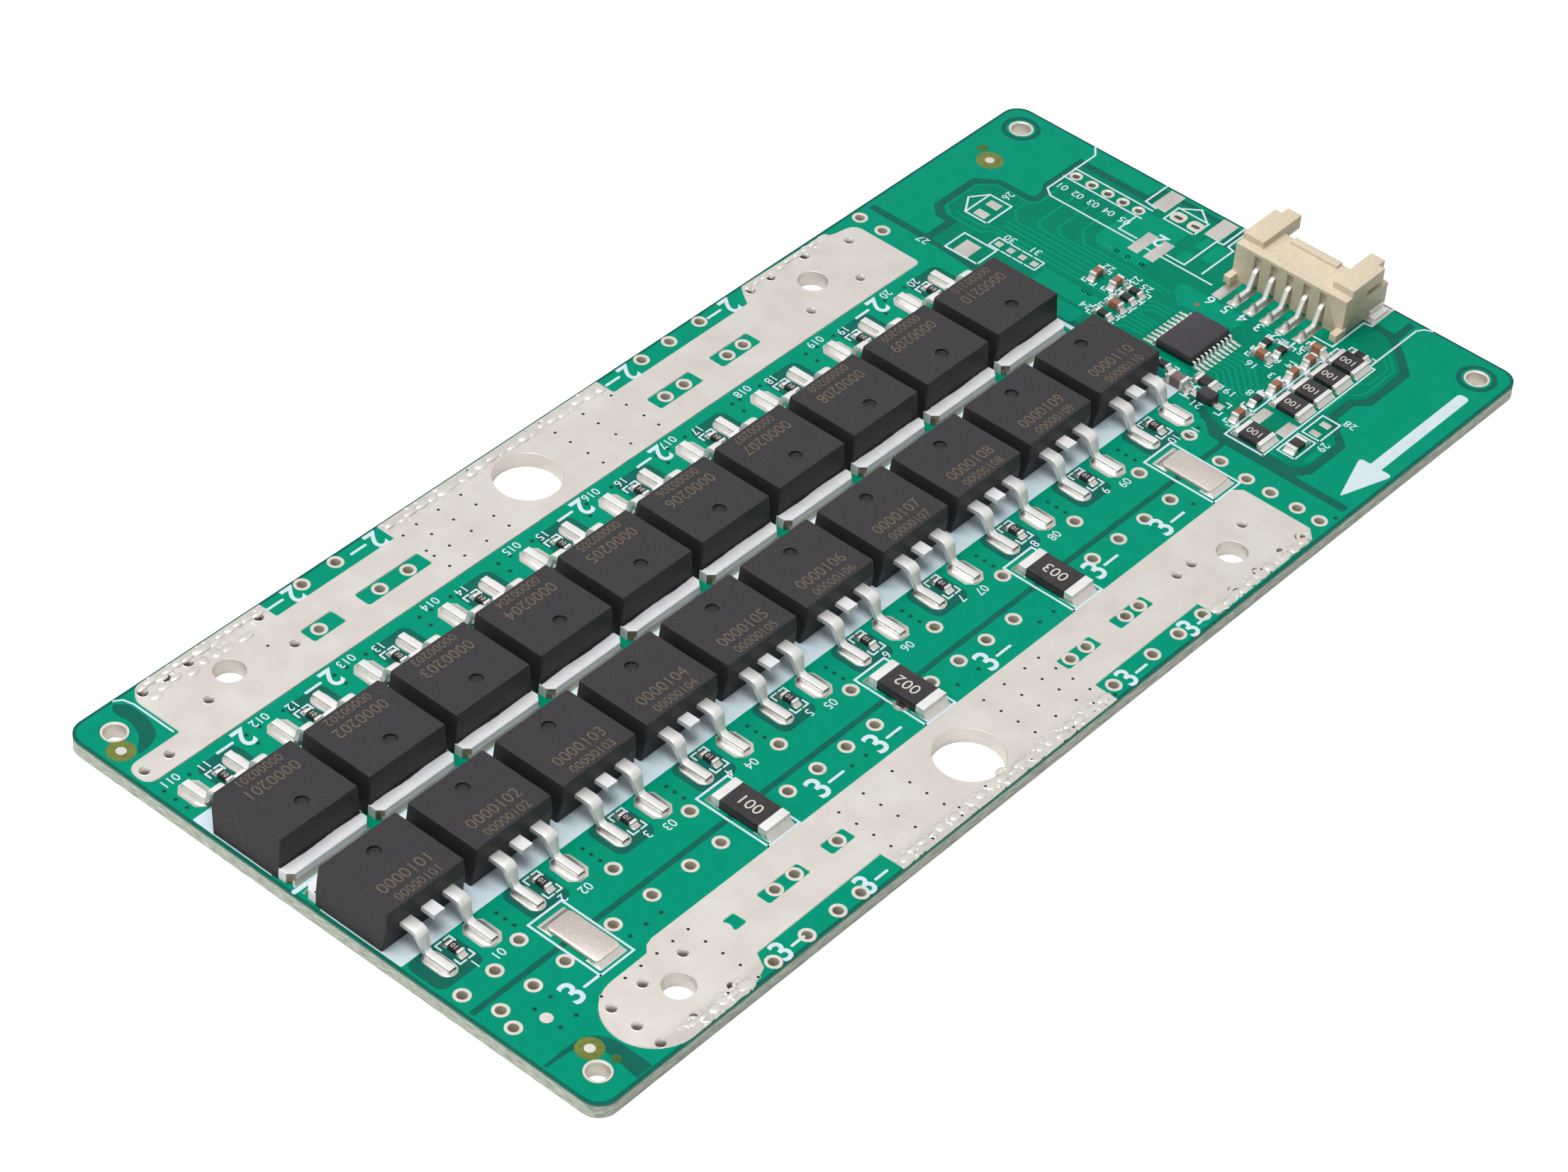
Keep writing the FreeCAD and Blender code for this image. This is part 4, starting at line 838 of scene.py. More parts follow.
GREEN_DOTS += [(117.8, y) for y in (37.5, 36.1, 34.4, 34.0)] + [(110.3, 35.8), (110.3, 35.1)]
STRIP_DOTS = [(x, y) for x in (36.85, 40.15, 44.1, 56.9, 59.85, 62.8, 64.8)
              for y in (5.4, 3.4, 1.45, -0.5, -2.5)]
STRIP_DOTS += [(x, 5.4) for x in (6.3, 9.25, 11.2, 13.2, 15.2, 17.15)]
STRIP_DOTS += [(17.1, y) for y in (3.4, 1.45, -0.5, -2.5, 57.55, 55.6)] + [(54.0, -2.45)]
STRIP_DOTS += [(36.3, y) for y in (57.5, 54.55, 53.55, 51.6)]
STRIP_DOTS += [(x, y) for x in (38.3, 41.2, 44.2) for y in (57.75, 55.8, 53.55, 51.6)]
STRIP_DOTS += [(57.0, y) for y in (59.7, 57.7, 55.75, 53.5, 51.55)] + [(47.15, 59.7)]
STRIP_DOTS += [(x, y) for x in (60.9, 64.85) for y in (57.7, 55.75, 53.5, 51.6)]
dots = Gather()
for places, level, halo, mark in ((GREEN_DOTS, COPPER, 0.3, 0), (STRIP_DOTS, STRIP, 0.22, 1)):
    profile = [(halo, level - 0.01), (halo - 0.02, level + 0.008), (0.16, level + 0.008)]
    for x, y in places:
        dots.add(*lathe(profile, x, y, 10), mark)
        # The dark disc is painted shade: the shade of the via's dip, drawn as a flat dark colour
        add_disc(dots, circle(x, y, 0.165, 10), level + 0.007, 2)
# Two scuffs: uneven rounds, shaken by the same draws
for x, y, radius in ((116.6, 26.5, 0.32), (117.8, 38.3, 0.14)):
    scuff = circle(x, y, radius, 9) + np.random.default_rng(3).uniform(-0.06, 0.06, (9, 2))
    add_disc(dots, scuff, COPPER + 0.016, 3)
piece("micro_vias", dots, [mask_inner, tin_ring, hole_shade_paint, scuffed])

# Alignment marks: a bare white spot in a clear round of mask, and rounds of mask without one
marks_round = Gather()
for x, y, radius in ((1.4, 2.2, 1.3), (-1.25, 55.0, 1.35), (120.4, 56.0, 1.45)):
    marks_round.add(*lathe([(radius, 0.0), (radius - 0.02, COPPER + 0.01), (0.5, COPPER + 0.01)], x, y, 32))
    add_disc(marks_round, circle(x, y, 0.5, 20), PAD, 1)
for x, y, radius in ((2.1, -0.15, 0.5), (121.5, 57.85, 0.6)):
    profile = [(radius, 0.0), (radius - 0.02, COPPER + 0.012), (0.05, COPPER + 0.012)]
    marks_round.add(*lathe(profile, x, y, 20), 2)
add_disc(marks_round, circle(1.4, 7.05, 0.6, 20), PAD, 1)
piece("alignment_marks", marks_round, [olive_mask, tin_ring, deep_olive])


# Tinned strips

def arc(centre, radius, start, stop, steps):
    """Points of an arc between two angles in degrees."""
    angle = np.radians(np.linspace(start, stop, steps))
    return np.stack([centre[0] + radius * np.cos(angle), centre[1] + radius * np.sin(angle)], -1)


battery_outline = np.vstack([
    arc((8.3, 1.5), 4.55, 90, 270, 24),
    [(16.0, -3.05), (18.3, -2.2), (19.2, -0.6), (35.5, -0.5), (35.6, -3.05), (65.6, -3.05), (65.65, -0.5),
     (81.0, -0.5), (81.05, -2.75), (95.9, -2.75), (97.1, -1.6), (97.1, 6.2), (96.3, 7.0), (14.2, 7.0),
     (13.3, 6.75), (12.6, 6.1)]])
BATTERY_WINDOWS = [(19.9, 21.3), (24.3, 29.6), (32.6, 35.6), (65.6, 70.35), (73.3, 78.1)]
PACK_WINDOWS = [(20.5, 24.4), (27.4, 35.5), (66.85, 72.85), (75.8, 81.3)]
pack_outline = soft_loop([(-2.6, 50.1), (100.8, 50.1), (102.15, 50.1), (102.15, 58.7), (99.4, 59.2),
                          (98.0, 59.9), (86.3, 60.1), (84.8, 57.9), (65.45, 57.9), (65.45, 60.15),
                          (35.5, 60.15), (35.5, 57.9), (20.5, 57.9), (20.5, 60.15), (5.2, 60.15),
                          (3.9, 58.9), (3.9, 53.15), (-2.6, 53.15)],
                         [1.45, 0.2, 1.2, 1.2, 0.5, 0.3, 0.3, 0.2, 0.2, 0.2, 0.2, 0.2, 0.2, 0.2, 0.6, 1.2, 0.2,
                          1.45], 5)


def windows(spans, low, high):
    """Loops of a strip's windows, from where each starts and ends along X."""
    return [soft_loop([(start, low), (stop, low), (stop, high), (start, high)], 0.25, 3)
            for start, stop in spans]


def strip_piece(name, outline, openings, vias, lug, wires, material, node):
    """A tinned strip with its windows and its holes; the big holes' edges are lathed over the rim."""
    gathered = Gather()
    bores = [(lug, LUG_RADIUS - 0.04, 64)] + [(wire, WIRE_RADIUS - 0.03, 36) for wire in wires]
    holes = openings + [circle(x, y, VIA_RADIUS - 0.02, 16) for x, y in vias]
    holes += [circle(x, y, radius, steps) for (x, y), radius, steps in bores]
    add_plate(gathered, outline, holes, 0.0, STRIP, 0.07)
    for (x, y), radius, steps in bores:
        gathered.add(*lathe([(radius + 0.12, STRIP - 0.005), (radius + 0.1, STRIP + 0.008),
                             (radius + 0.05, STRIP + 0.008), (radius, STRIP - 0.04), (radius, -BOARD),
                             (radius + 0.5, -BOARD), (radius + 0.5, -BOARD + 0.02)], x, y, steps))
    for x, y in vias:
        gathered.add(*lathe([(0.6, STRIP - 0.005), (0.57, STRIP + 0.012), (0.52, STRIP + 0.012),
                             (VIA_RADIUS - 0.03, STRIP - 0.04), (0.34, -0.4), (0.3, -0.9),
                             (VIA_RADIUS - 0.03, -BOARD), (0.8, -BOARD), (0.8, -BOARD + 0.02)], x, y, 18))
    piece(name, gathered, [material], [node], 40)


strip_piece("battery_strip_tin", battery_outline, windows(BATTERY_WINDOWS, 2.5, 3.95), BATTERY_VIAS,
            LUG_HOLES[0], WIRE_HOLES[:2], battery_tin, "terminal_strip_battery")
strip_piece("pack_strip_tin", pack_outline, windows(PACK_WINDOWS, 53.05, 54.9), PACK_VIAS,
            LUG_HOLES[1], WIRE_HOLES[2:], pack_tin, "terminal_strip_pack")

# Frozen ripples and lumps of solder along the strips' outer edges
ripples = Gather()
shake = np.random.default_rng(5)


def ripple(across, along, radius, start, sweep):
    """A low ridge that runs along an arc, a few tenths wide and a few hundredths high."""
    line = arc((across, along), radius, start, start + sweep, 9)
    ripples.add(*ribbon(line, 0.22, STRIP - 0.01, STRIP + 0.03, 0.08))


def lump(across, along, half_x, half_y, height):
    """A low dome: rings of an ellipse that shrinks as the cosine and rises as the sine of one angle."""
    swing = np.linspace(0, math.pi / 2, 6)[:, None]
    angle = equal_angles(16)
    x = across + half_x * np.cos(swing) * np.cos(angle)
    y = along + half_y * np.cos(swing) * np.sin(angle)
    z = STRIP - 0.01 + height * np.sin(swing) * np.ones(16)
    points = np.stack([x, y, z], -1)[:-1].reshape(-1, 3)
    ripples.add(points, [grid_faces(5, 16), np.arange(16)[None] + 64])


def lump_row(places, jitter, along, drift, half_x, half_y, height):
    """A row of lumps along X. The pairs are the ranges that each lump's measures are drawn from."""
    for x in places:
        x = x + shake.uniform(-jitter, jitter) if jitter else x
        lump(x, along + shake.uniform(*drift), shake.uniform(*half_x), shake.uniform(*half_y),
             shake.uniform(*height))


lump_row(np.concatenate([np.arange(9.4, 15.6, 1.2), np.arange(36.6, 65.0, 1.35), np.arange(82.0, 95.6, 1.3)]),
         0.3, -2.25, (-0.1, 0.25), (0.5, 0.95), (0.3, 0.55), (0.06, 0.16))
for low_x, high_x in ((8.6, 16.0), (36.2, 65.0), (81.6, 96.4)):
    for x in np.arange(low_x, high_x, 1.15):
        ripple(x + shake.uniform(-0.3, 0.3), -2.2 + shake.uniform(-0.25, 0.3), shake.uniform(0.35, 0.72),
               shake.uniform(-30, 60), shake.uniform(110, 230))
lump_row(np.arange(5.6, 19.5, 1.05), 0.3, 59.45, (-0.25, 0.15), (0.6, 1.2), (0.3, 0.5), (0.14, 0.3))
lump_row(np.arange(5.8, 17.0, 1.5), 0.4, 58.2, (-0.5, 0.3), (0.5, 1.1), (0.3, 0.6), (0.08, 0.2))
lump_row(np.arange(86.8, 98.4, 1.25), 0.0, 59.55, (-0.15, 0.05), (0.5, 0.9), (0.3, 0.45), (0.1, 0.22))
lump_row(np.arange(36.6, 65.0, 1.35), 0.3, 59.3, (-0.25, 0.15), (0.6, 1.1), (0.35, 0.65), (0.1, 0.24))
piece("strip_ripples", ripples, [tin_pad], smooth_angle=60)

# Rings round the plated holes in the green
rings = Gather()
for x, y in RING_VIAS:
    rings.add(*lathe([(RING_RADIUS, 0.0), (RING_RADIUS - 0.03, PAD), (VIA_RADIUS + 0.02, PAD),
                      (VIA_RADIUS, PAD - 0.02)], x, y, 20))
    rings.add(*lathe([(VIA_RADIUS, PAD - 0.02), (VIA_RADIUS - 0.03, -0.05), (0.43, -0.4), (0.38, -0.9),
                      (VIA_RADIUS - 0.03, -BOARD)], x, y, 20), 1)
    rings.add(*lathe([(VIA_RADIUS - 0.03, -BOARD), (RING_RADIUS, -BOARD), (RING_RADIUS, -BOARD + 0.02)],
                     x, y, 20))
for x, y in CORNER_HOLES:
    rings.add(*lathe([(1.32, 0.0), (1.28, 0.07), (1.1, 0.07), (1.02, 0.0), (1.02, -BOARD), (1.5, -BOARD),
                      (1.5, -BOARD + 0.02)], x, y, 32))
for x, y in HEADER_HOLES:
    rings.add(*lathe([(0.72, 0.0), (0.7, PAD + 0.01), (0.45, PAD + 0.01), (0.38, 0.0), (0.38, -BOARD),
                      (0.8, -BOARD), (0.8, -BOARD + 0.02)], x, y, 16))
for x, y in OVAL_HOLES:
    outer = rounded(x, y, 0.85, 0.85, 0.6)
    bore = rounded(x, y, 0.28, 0.48, 0.27)
    rings.add(*loft([raised(outer, 0.0), raised(outer * 0.98 + np.array([x, y]) * 0.02, PAD),
                     raised(rounded(x, y, 0.33, 0.53, 0.3), PAD), raised(bore, 0.0), raised(bore, -BOARD)],
                    top=False))
piece("tinned_rings", rings, [tin_ring, bore_metal], smooth_angle=40)


# Lands: tinned copper with a mound of solder under each lead

lands = Gather()


def add_land(across, along, size_x, size_y):
    """A levelled land: a low pillow whose rim falls away as a quarter circle."""
    lands.add(*loft(box_rings(across, along, size_x / 2, size_y / 2, 0.0, PAD, PAD, 3)))


def octagon(across, along, half_x, half_y, cut):
    """A rectangle with its corners cut off, as eight points."""
    x = half_x * np.array([1, 1, 1, -1, -1, -1, -1, 1]) - cut * np.array([0, 0, 1, -1, 0, 0, -1, 1])
    y = half_y * np.array([-1, 1, 1, 1, 1, -1, -1, -1]) - cut * np.array([-1, 1, 0, 0, 1, -1, 0, 0])
    return np.stack([across + x, along + y], -1)


# Power devices. Each is shaped on its own centre line, leads towards low Y, then placed or half-turned.

CASE_FRONT = 21.6
CASE_BACK = 29.95
CASE_TOP = 4.4
TAB_TOP = 1.27
TAB_END = 31.33
DIMPLE_Y = CASE_BACK - 2.2
LEAD_PITCH = 2.54
LEAD_LEVEL = 2.35
LEAD_HALF_THICKNESS = 0.25


def placed(points, index, turn):
    """Points moved from a device's own centre line to its place in a row."""
    x, y, z = np.array(points, float).T
    return np.column_stack([*beside_device(index, turn, x, y), z])


def case_surface():
    """The moulded case: outlines that lean in above and below the parting line, a rounded top edge,
    and a top that sinks to the ejector dimple."""
    edge, corner = 0.13, 0.16
    top_front, top_back, top_half = 21.71, 29.845, 4.63
    levels = [(0.02, 4.95, 22.0, 29.83), (TAB_TOP, 4.86, 21.81, 29.94), (2.65, 4.76, CASE_FRONT, 29.91),
              (CASE_TOP - edge, top_half, top_front, top_back)]
    rings_here = [raised(rounded(0, (front + back) / 2, half_x, (back - front) / 2, corner, 3), level)
                  for level, half_x, front, back in levels]
    for angle in np.linspace(0, math.pi / 2, 4)[1:]:
        step = edge * (1 - math.cos(angle))
        flat = rounded(0, (top_front + top_back) / 2, top_half - step, (top_back - top_front) / 2 - step,
                       corner - 0.4 * step, 3)
        rings_here.append(raised(flat, CASE_TOP - edge + edge * math.sin(angle)))
    flat, triangles = filled([rings_here[-1][:, :2], circle(0, DIMPLE_Y, 0.68, 28)[::-1]])
    bowl = lathe([(0.68, CASE_TOP), (0.66, CASE_TOP - 0.03), (0.655, CASE_TOP - 0.26), (0.6, CASE_TOP - 0.3),
                  (0.02, CASE_TOP - 0.3)], 0, DIMPLE_Y, 28)
    return loft(rings_here, bottom=True, top=False), (raised(flat, CASE_TOP), triangles), bowl


def tab_surface():
    """The tab with its clipped outer corners and rounded rim. The clipped corners show copper."""
    outline = np.array([(4.85, 29.6), (4.85, TAB_END - 0.6), (4.25, TAB_END), (-4.25, TAB_END),
                        (-4.85, TAB_END - 0.6), (-4.85, 29.6)])
    rows = []
    for inset, level in ((0.04, 0.0), (0.0, 0.06), (0.0, TAB_TOP - 0.1), (0.02, TAB_TOP - 0.04),
                         (0.07, TAB_TOP)):
        loop = outline.copy()
        loop[:, 0] -= np.sign(loop[:, 0]) * inset
        loop[1:5, 1] -= inset
        rows.append(raised(loop, level))
    count = len(outline)
    walls = grid_faces(len(rows), count).reshape(-1, count, 4)
    tinned = np.concatenate([walls[1, [0, 2, 4, 5]], walls[0], walls[2:].reshape(-1, 4)])
    top = np.arange(count)[None] + (len(rows) - 1) * count
    return np.concatenate(rows), [(walls[1, [1, 3]], 1), (tinned, 0), (top, 0)]


def device_solder():
    """Rings of the solder along a tab's edge, and of each outer lead's land and the solder on it."""
    band = np.array([(-4.6, TAB_END - 0.2), (4.6, TAB_END - 0.2), (4.6, TAB_END + 0.28),
                     (-4.6, TAB_END + 0.28)])
    foot = soft_loop(band + np.array([(0, 0), (0, 0), (0.1, 0), (-0.1, 0)]), 0.1, 2)
    core = soft_loop(band - np.array([(0, 0), (0, 0), (0.1, 0.26), (-0.1, 0.26)]), 0.1, 2)
    found = [mound(foot, core, PAD, 0.5)]
    for middle, loop, half_x, power in (
            (-LEAD_PITCH, rounded(-2.5, 17.6, 0.93, 1.8, 0.9, 4), 0.82, 0.6),
            (LEAD_PITCH, octagon(LEAD_PITCH, 17.55, 1.28, 1.85, 0.75), 1.12, 0.75)):
        loop = turned(loop, True)
        found.append(np.stack([raised(loop, 0.0), raised(moved_in(loop, 0.04), PAD)]))
        found.append(mound(squared_oval(middle + 0.02, 17.58, half_x, 1.7, power),
                           squared_oval(middle, 17.6, 0.39, 1.45, 0.25), PAD + 0.008, 0.4))
    return found


# The middle line of a bent lead, from inside the case to the foot's tip. It narrows as it falls.
SHOULDER = CASE_FRONT - 1.75
LEAD_LINE = soft_loop([(CASE_FRONT + 0.3, LEAD_LEVEL), (SHOULDER, LEAD_LEVEL), (SHOULDER - 0.75, 0.305),
                       (16.1, 0.305)], 0.5, 6, closed=False)
LEAD_HALF = np.interp(-LEAD_LINE[:, 1], [-1.75, -1.05], [0.65, 0.4])
LEAD_RINGS = swept(LEAD_LINE, LEAD_HALF, LEAD_HALF_THICKNESS, 0.035)
# The middle lead, cut off short
STUB_RINGS = swept([(y, LEAD_LEVEL) for y in (20.1, 20.6, 21.4, 22.1)], 0.65, LEAD_HALF_THICKNESS, 0.03)
CASE_PARTS = case_surface()
TAB_POINTS, TAB_FACES = tab_surface()
SOLDER_RINGS = device_solder()
lead_gathers = {1: Gather(), -1: Gather()}


def add_closed(gathered, tube, place, end_mark=0):
    """A closed tube of rings; its far end has a mark of its own."""
    rows, columns = tube.shape[:2]
    points = place(tube.reshape(-1, 3))
    side = grid_faces(rows, columns)
    first = np.arange(columns)[None, ::-1]
    last = np.arange(columns)[None] + (rows - 1) * columns
    volume = np.sum(np.cross(points[side[:, 0]], points[side[:, 1]]) * (points[side[:, 2]] - points[0]))
    if volume < 0:
        side, first, last = side[:, ::-1], first[:, ::-1], last[:, ::-1]
    gathered.extend(points, [(side, 0), (first, 0), (last, end_mark)])


def power_device(index, turn):
    """One device: its case with etched numbers and a ragged flash of resin, its tab with the cut middle
    lead, its two bent leads with copper at their cut ends, and its lands and solder."""
    def place(points):
        return placed(points, index, turn)

    body = Gather()
    for points, faces in CASE_PARTS:
        body.add(place(points), faces)
    number = "%d%02d" % (1 if turn > 0 else 2, index + 1)
    for text, along, height in (("0000" + number, 24.1, 1.25), ("00000" + number, 22.5, 0.95)):
        points, faces = text_shape(text, height)
        body.add(place(raised(points[:, :2] + (0, along), CASE_TOP + 0.004)), faces, 1)
    # The flash's edge on the tab wanders with a sine and random steps
    tear = np.random.default_rng(40 + index + (0 if turn > 0 else IN_ROW))
    count = 30
    x = np.sort(np.concatenate([[-4.8, 4.8], tear.uniform(-4.7, 4.7, count - 2)]))
    reach = 30.06 + 0.05 * np.sin(x + index) + tear.uniform(-0.03, 0.03, count)
    flash = np.concatenate([raised(np.column_stack([x, np.full(count, 29.8)]), TAB_TOP + 0.03),
                            raised(np.column_stack([x, reach]), TAB_TOP + 0.012)])
    body.add(place(flash), grid_faces(2, count, closed=False))
    label = "%s_mosfet_%02d" % ("discharge" if turn > 0 else "charge", index + 1)
    piece(label + "_epoxy", body, [epoxy, etched], [label + "_case"])
    tab = Gather()
    tab.extend(place(TAB_POINTS), TAB_FACES)
    add_closed(tab, STUB_RINGS, place)
    piece(label + "_tin", tab, [tin_tab, cut_copper], [label + "_tab"])
    for side in (-LEAD_PITCH, LEAD_PITCH):
        add_closed(lead_gathers[turn], LEAD_RINGS + (side, 0, 0), place, 1)
    for rings_here in SOLDER_RINGS:
        lands.add(place(rings_here.reshape(-1, 3)), loft(rings_here)[1])


for turn in (1, -1):
    for index in range(IN_ROW):
        power_device(index, turn)
piece("discharge_lead_tin", lead_gathers[1], [tin_lead, cut_copper], ["discharge_leads"], 30)
piece("charge_lead_tin", lead_gathers[-1], [tin_lead, cut_copper], ["charge_leads"], 30)


# Current sense strips

sense = Gather()
for x in SENSE_X[::4]:
    sense.add(*loft([raised(rounded(x, SENSE_Y, 1.5 - inset, 2.975 - inset, 0.45, 5), level)
                     for inset, level in ((0.0, PAD), (0.0, 0.44), (0.02, 0.48), (0.06, 0.5))]))
piece("sense_strip_alloy", sense, [alloy], ["sense_strips"], 30)


# Chips. Each kind has its gathers, its length, width, height and end, and its lands' length, width and
# height of solder.

sense_bodies, sense_ends, chips, chip_ends, caps, cap_ends = [Gather() for _ in range(6)]
SMALL = (1.6, 0.8, 0.45, 0.3)
KINDS = {
    "sense": (sense_bodies, sense_ends, (6.35, 3.2, 1.0, 0.95), (1.6, 3.35, 0.6)),
    "gate": (chips, chip_ends, SMALL, (0.75, 0.9, 0.3)),
    "resistor": (chips, chip_ends, SMALL, (0.75, 0.9, 0.35)),
    "medium": (chips, chip_ends, (2.0, 1.25, 0.5, 0.4), (0.9, 1.35, 0.4)),
    "balance": (chips, chip_ends, (3.2, 2.5, 0.55, 0.5), (0.95, 2.6, 0.4)),
    "capacitor": (caps, cap_ends, (1.6, 0.8, 0.8, 0.3), (0.8, 0.95, 0.5)),
    "large capacitor": (caps, cap_ends, (2.0, 1.25, 1.1, 0.4), (0.9, 1.35, 0.6))}


def stood(points, centre, upright):
    """Points of a part drawn along X about the origin, turned along Y if upright, and moved to a centre."""
    points = np.array(points, float)
    if upright:
        points = np.column_stack([-points[:, 1], points[:, 0], points[:, 2]])
    return points + (centre[0], centre[1], 0)


def solder_ends(centre, upright, size, land):
    """The lands of a two-ended part and the fillets that climb its ends."""
    length, width, _, end = size
    land_length, land_width, height = land
    for side in (-1, 1):
        foot = rounded(0, 0, land_length / 2, land_width / 2, 0.1, 2)
        foot = foot + (side * (length / 2 + land_length / 2 - end), 0)
        core = rounded(0, 0, end / 2, width / 2 - 0.02, 0.03, 2) + (side * (length - end) / 2, 0)
        points, faces = loft(mound(foot, core, PAD, height))
        lands.add(stood(points, centre, upright), faces)


def chip(kind, centre, upright=1, mark=0):
    """A chip part: a slightly narrower body between two plated ends with rounded edges, and its solder."""
    bodies, ends, size, land = KINDS[kind]
    length, width, height, end = size
    points, faces = loft(box_rings(0, 0, length / 2 - end + 0.03, width / 2 - 0.02, PAD + 0.03,
                                   PAD + height - 0.015, 0.03))
    bodies.add(stood(points, centre, upright), faces, mark)
    for side in (-1, 1):
        points, faces = loft(box_rings(side * (length - end) / 2, 0, end / 2, width / 2, PAD, PAD + height,
                                       0.05))
        ends.add(stood(points, centre, upright), faces)
    solder_ends(centre, upright, size, land)


for x in SENSE_X:
    for y in (8.35, 13.95):
        add_land(x, y, 3.4, 1.7)
for x in SENSE_X[1:4]:
    chip("sense", (x, SENSE_Y))
for x in SENSE_X[::4]:
    solder_ends((x, SENSE_Y), 1, (5.95, 3.0, 0.45, 0.7), (1.3, 3.3, 0.35))
for index in (1, 2, 3):
    add_text(sense_bodies, "00%d" % index, SENSE_X[index], SENSE_Y, 1.0 + PAD - 0.01, 1.25, 90, 1)
piece("sense_resistor_glass", sense_bodies, [glass_coat, chip_print],
      ["sense_resistor_bodies"], 30)
piece("sense_resistor_tin", sense_ends, [tin_lead], ["sense_resistor_ends"], 30)

for index in range(IN_ROW):
    for turn in (1, -1):
        centre = beside_device(index, turn, GATE_X, GATE_Y)
        chip("gate", centre)
        add_text(chips, "10", *centre, PAD + 0.44, 0.5, 90 * turn, 1)
for centre, upright, kind in SMALL_PARTS:
    chip(kind, centre, upright)
chip("medium", (105.9, 6.5), 0)
chip("medium", (107.3, 18.4))
for x in (104.2, 110.34, 113.41, 116.48, 119.55):
    chip("balance", (x, 10.2))
    add_text(chips, "100", x, 10.2, PAD + 0.54, 0.85, 90, 1)
chip("large capacitor", (105.2, 20.3), 1, 1)
piece("chip_resistor_glass", chips, [glass_coat, chip_print], ["chip_resistor_bodies"], 30)
piece("chip_resistor_tin", chip_ends, [tin_lead], ["chip_resistor_ends"], 30)
piece("capacitor_ceramic_bodies", caps, [ceramic, grey_ceramic], ["capacitor_bodies"], 30)
piece("capacitor_tin", cap_ends, [tin_lead], ["capacitor_ends"], 30)

# Lands without a part, and those of the control chip and the diode: places along X and Y, and the size
for across, along, size_x, size_y in (
        ((107.27,), (8.6, 11.6), 2.3, 1.2), ((108.8, 110.5), (6.35,), 0.8, 1.1),
        ((110.15,), FOUR_LANDS, 0.8, 0.8), ((112.8, 114.8), (50.9,), 1.1, 1.5),
        ((107.3,), (48.3,), 2.3, 1.9), ((120.75,), (36.43, 34.43), 3.7, 1.35),
        ((128.1,), (38.8,), 3.5, 1.8), ((128.1,), (32.05,), 3.5, 1.9),
        (111.5 + (np.arange(10) - 4.5) * 0.65, (20.2, 26.3), 0.36, 1.5),
        ((105.4,), (15.4, 18.2), 0.9, 1.0)):
    for x in across:
        for y in along:
            add_land(x, y, size_x, size_y)


# The control chip and the diode, from their CAD solids with edges rounded

softened("controller_case", "controller_epoxy", 0.08, [chip_epoxy])
softened("controller_leads", "controller_lead_tin", 0.03, [tin_lead], steps=1)
softened("diode_case", "diode_epoxy", 0.07, [chip_epoxy])
softened("diode_leads", "diode_lead_tin", 0.02, [tin_lead], steps=1)


# The connector: the moulded housing with its pins and solder anchors

softened("connector_housing", "connector_nylon", 0.12, [nylon], steps=3)
softened("connector_contacts", "connector_pin_tin", 0.06, [tin_lead])
softened("connector_anchors", "connector_anchor_tin", 0.04, [tin_lead])
PIN_Y = (24.05, 22.05, 20.05, 18.05, 16.05)
for y in (25.9,) + PIN_Y:
    add_land(120.8, y, 3.8, 1.2)
for y in PIN_Y:
    lands.add(*loft(mound(squared_oval(119.75, y, 0.75, 0.56, steps=24),
                          squared_oval(119.9, y, 0.3, 0.24, steps=24), PAD, 0.72)))
for side in (-1, 1):
    add_land(128.3, 20.05 + side * 7.1, 3.4, 1.7)

piece("lands_and_solder", lands, [solder_joint_metal], smooth_angle=45)


# Light, floor and camera

floor_half = 1.6
floor_mesh = bpy.data.meshes.new("floor")
floor_mesh.from_pydata([(-floor_half, -floor_half, 0), (floor_half, -floor_half, 0),
                        (floor_half, floor_half, 0), (-floor_half, floor_half, 0)], [], [(0, 1, 2, 3)])
floor = bpy.data.objects.new("floor", floor_mesh)
bpy.context.scene.collection.objects.link(floor)


def floor_material():
    """A matt white sweep: the camera sees it as white, with the board's shadow left in."""
    made, tree, shader, _ = new_material("white_sweep", Roughness=0.9)
    shader.inputs["Base Color"].default_value = linear("#F0F0EE")
    path = add_node(tree, "LightPath")
    bright = add_node(tree, "BsdfDiffuse", {"Color": linear("#F4F4F4")})
    glow = add_node(tree, "Emission", {"Color": (1, 1, 1, 1), "Strength": 0.6})
    both = add_node(tree, "AddShader", {0: bright.outputs["BSDF"], 1: glow.outputs["Emission"]})
    seen = add_node(tree, "MixShader", {0: path.outputs["Is Camera Ray"], 1: shader.outputs["BSDF"],
                                        2: both.outputs["Shader"]})
    tree.links.new(seen.outputs["Shader"], tree.nodes["Material Output"].inputs["Surface"])
    return made


floor_mesh.materials.append(floor_material())

world = bpy.data.worlds.new("studio")
bpy.context.scene.world = world
world.use_nodes = True
sky = world.node_tree
path = add_node(sky, "LightPath")
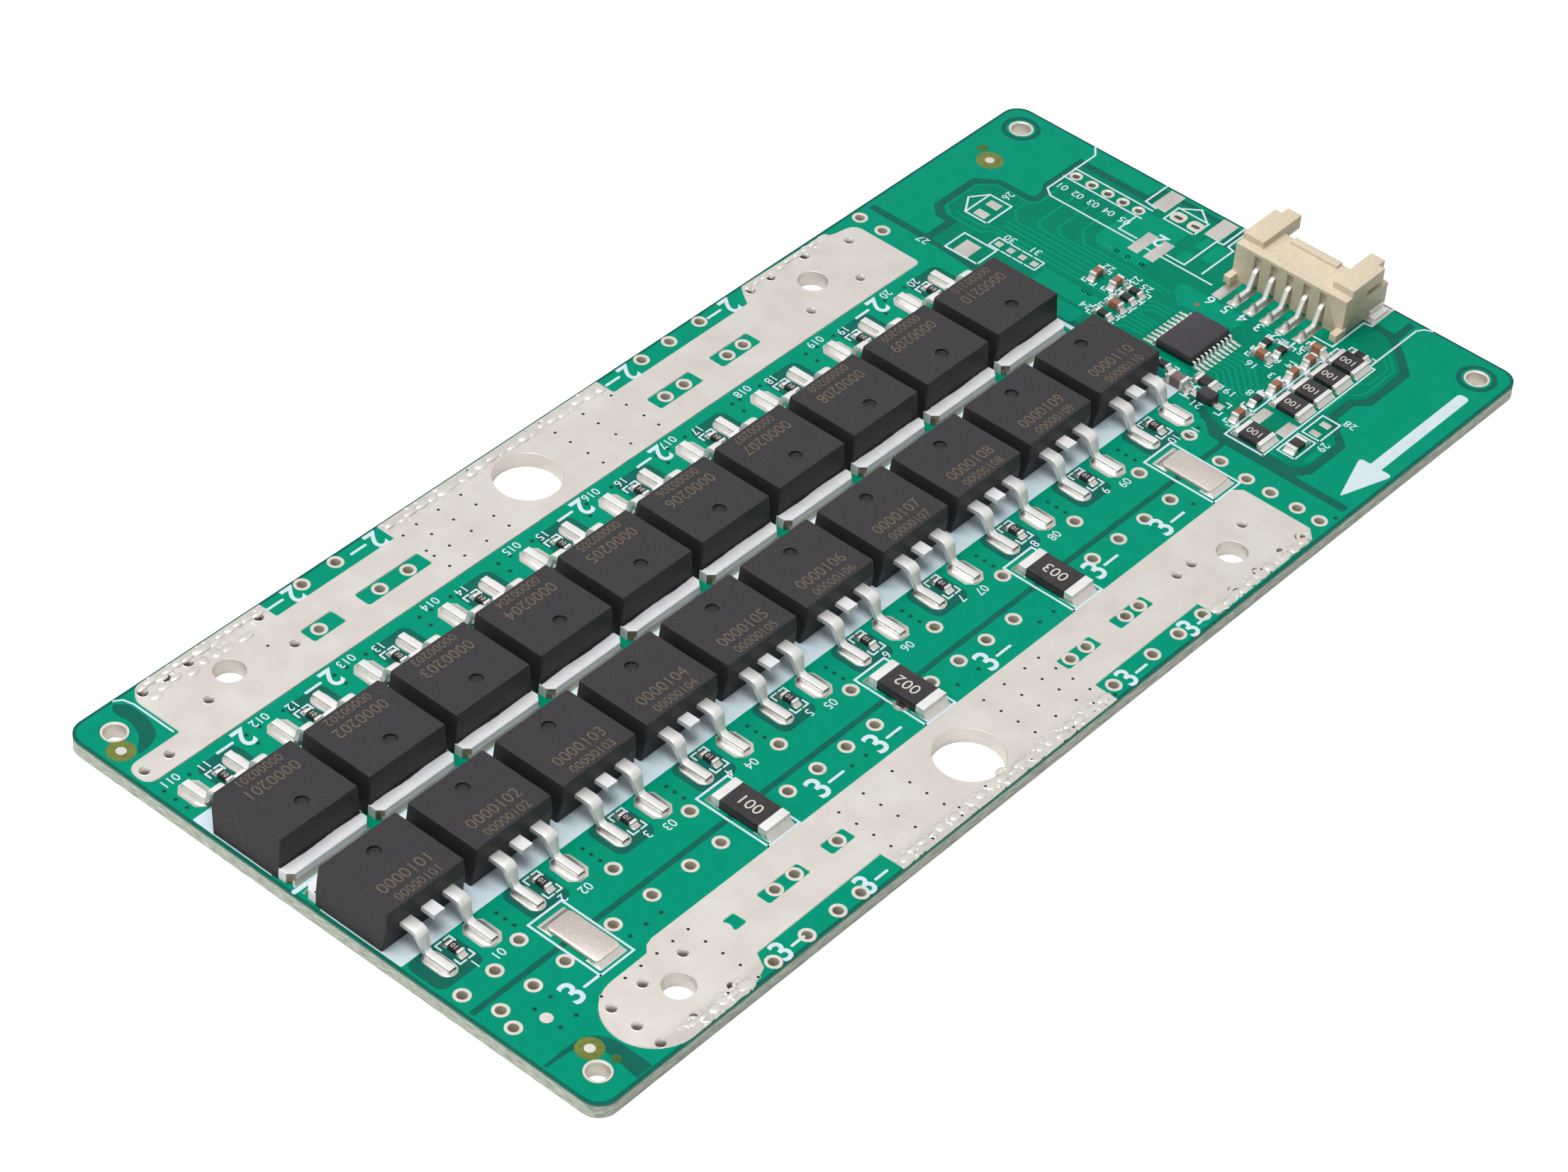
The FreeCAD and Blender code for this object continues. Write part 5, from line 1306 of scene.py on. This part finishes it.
# The dome is brightest overhead and a little behind the board, and dark towards the horizon, as under a
# ceiling softbox
aim = add_node(sky, "VectorMath", {0: add_node(sky, "TexCoord").outputs["Generated"], 1: (-0.2, 0.3, 0.93)},
               operation="DOT_PRODUCT")
dome = add_node(sky, "MapRange", {"Value": aim.outputs["Value"], "From Min": 0.3, "To Min": 0.0,
                                  "To Max": 1.25})
ambient = add_node(sky, "Background", {"Color": (1, 1, 1, 1), "Strength": dome.outputs["Result"]})
backdrop = add_node(sky, "Background", {"Color": (1, 1, 1, 1), "Strength": 1.0})
white_for = add_node(sky, "Math", {0: path.outputs["Is Camera Ray"], 1: path.outputs["Is Glossy Ray"]},
                     operation="MAXIMUM")
seen = add_node(sky, "MixShader", {0: white_for.outputs["Value"], 1: ambient.outputs["Background"],
                                   2: backdrop.outputs["Background"]})
sky.links.new(seen.outputs["Shader"], sky.nodes["World Output"].inputs["Surface"])


def area_light(name, position, target, size, power):
    data = bpy.data.lights.new(name, "AREA")
    data.shape = "RECTANGLE"
    data.size, data.size_y = size
    data.energy = power
    made = bpy.data.objects.new(name, data)
    bpy.context.scene.collection.objects.link(made)
    place = Vector(position)
    turn = (Vector(target) - place).to_track_quat("-Z", "Y")
    made.matrix_world = Matrix.Translation(place) @ turn.to_matrix().to_4x4()


area_light("key", (-0.15, 0.03, 0.75), (0, 0, 0), (0.5, 0.3), 3.6)
area_light("fill", (-0.6, 0.1, 0.3), (0, 0, 0), (0.4, 0.4), 0.45)

# The camera stands where the picture was taken from
CAMERA_PLACE = np.array([-200.864, -168.961, 286.755])
AZIMUTH, ELEVATION, ROLL = math.radians(37.5127), math.radians(41.5294), math.radians(4.9565)
forward = np.array([math.cos(AZIMUTH) * math.cos(ELEVATION), math.sin(AZIMUTH) * math.cos(ELEVATION),
                    -math.sin(ELEVATION)])
level_right = np.array([math.sin(AZIMUTH), -math.cos(AZIMUTH), 0.0])
level_up = np.cross(level_right, forward)
right = level_right * math.cos(ROLL) + level_up * math.sin(ROLL)
up = level_up * math.cos(ROLL) - level_right * math.sin(ROLL)
view = Matrix(np.column_stack([right, up, -forward]).tolist()).to_4x4()
lens = bpy.data.cameras.new("photo_view")
lens.lens = 108.62
lens.sensor_width = 36.0
camera = bpy.data.objects.new("photo_view", lens)
bpy.context.scene.collection.objects.link(camera)
camera.matrix_world = Matrix.Translation(Vector((CAMERA_PLACE + DATUM) / 1000)) @ view
bpy.context.scene.camera = camera

settings = bpy.context.scene.view_settings
bpy.context.scene.display_settings.display_device = "sRGB"
settings.view_transform = "Standard"
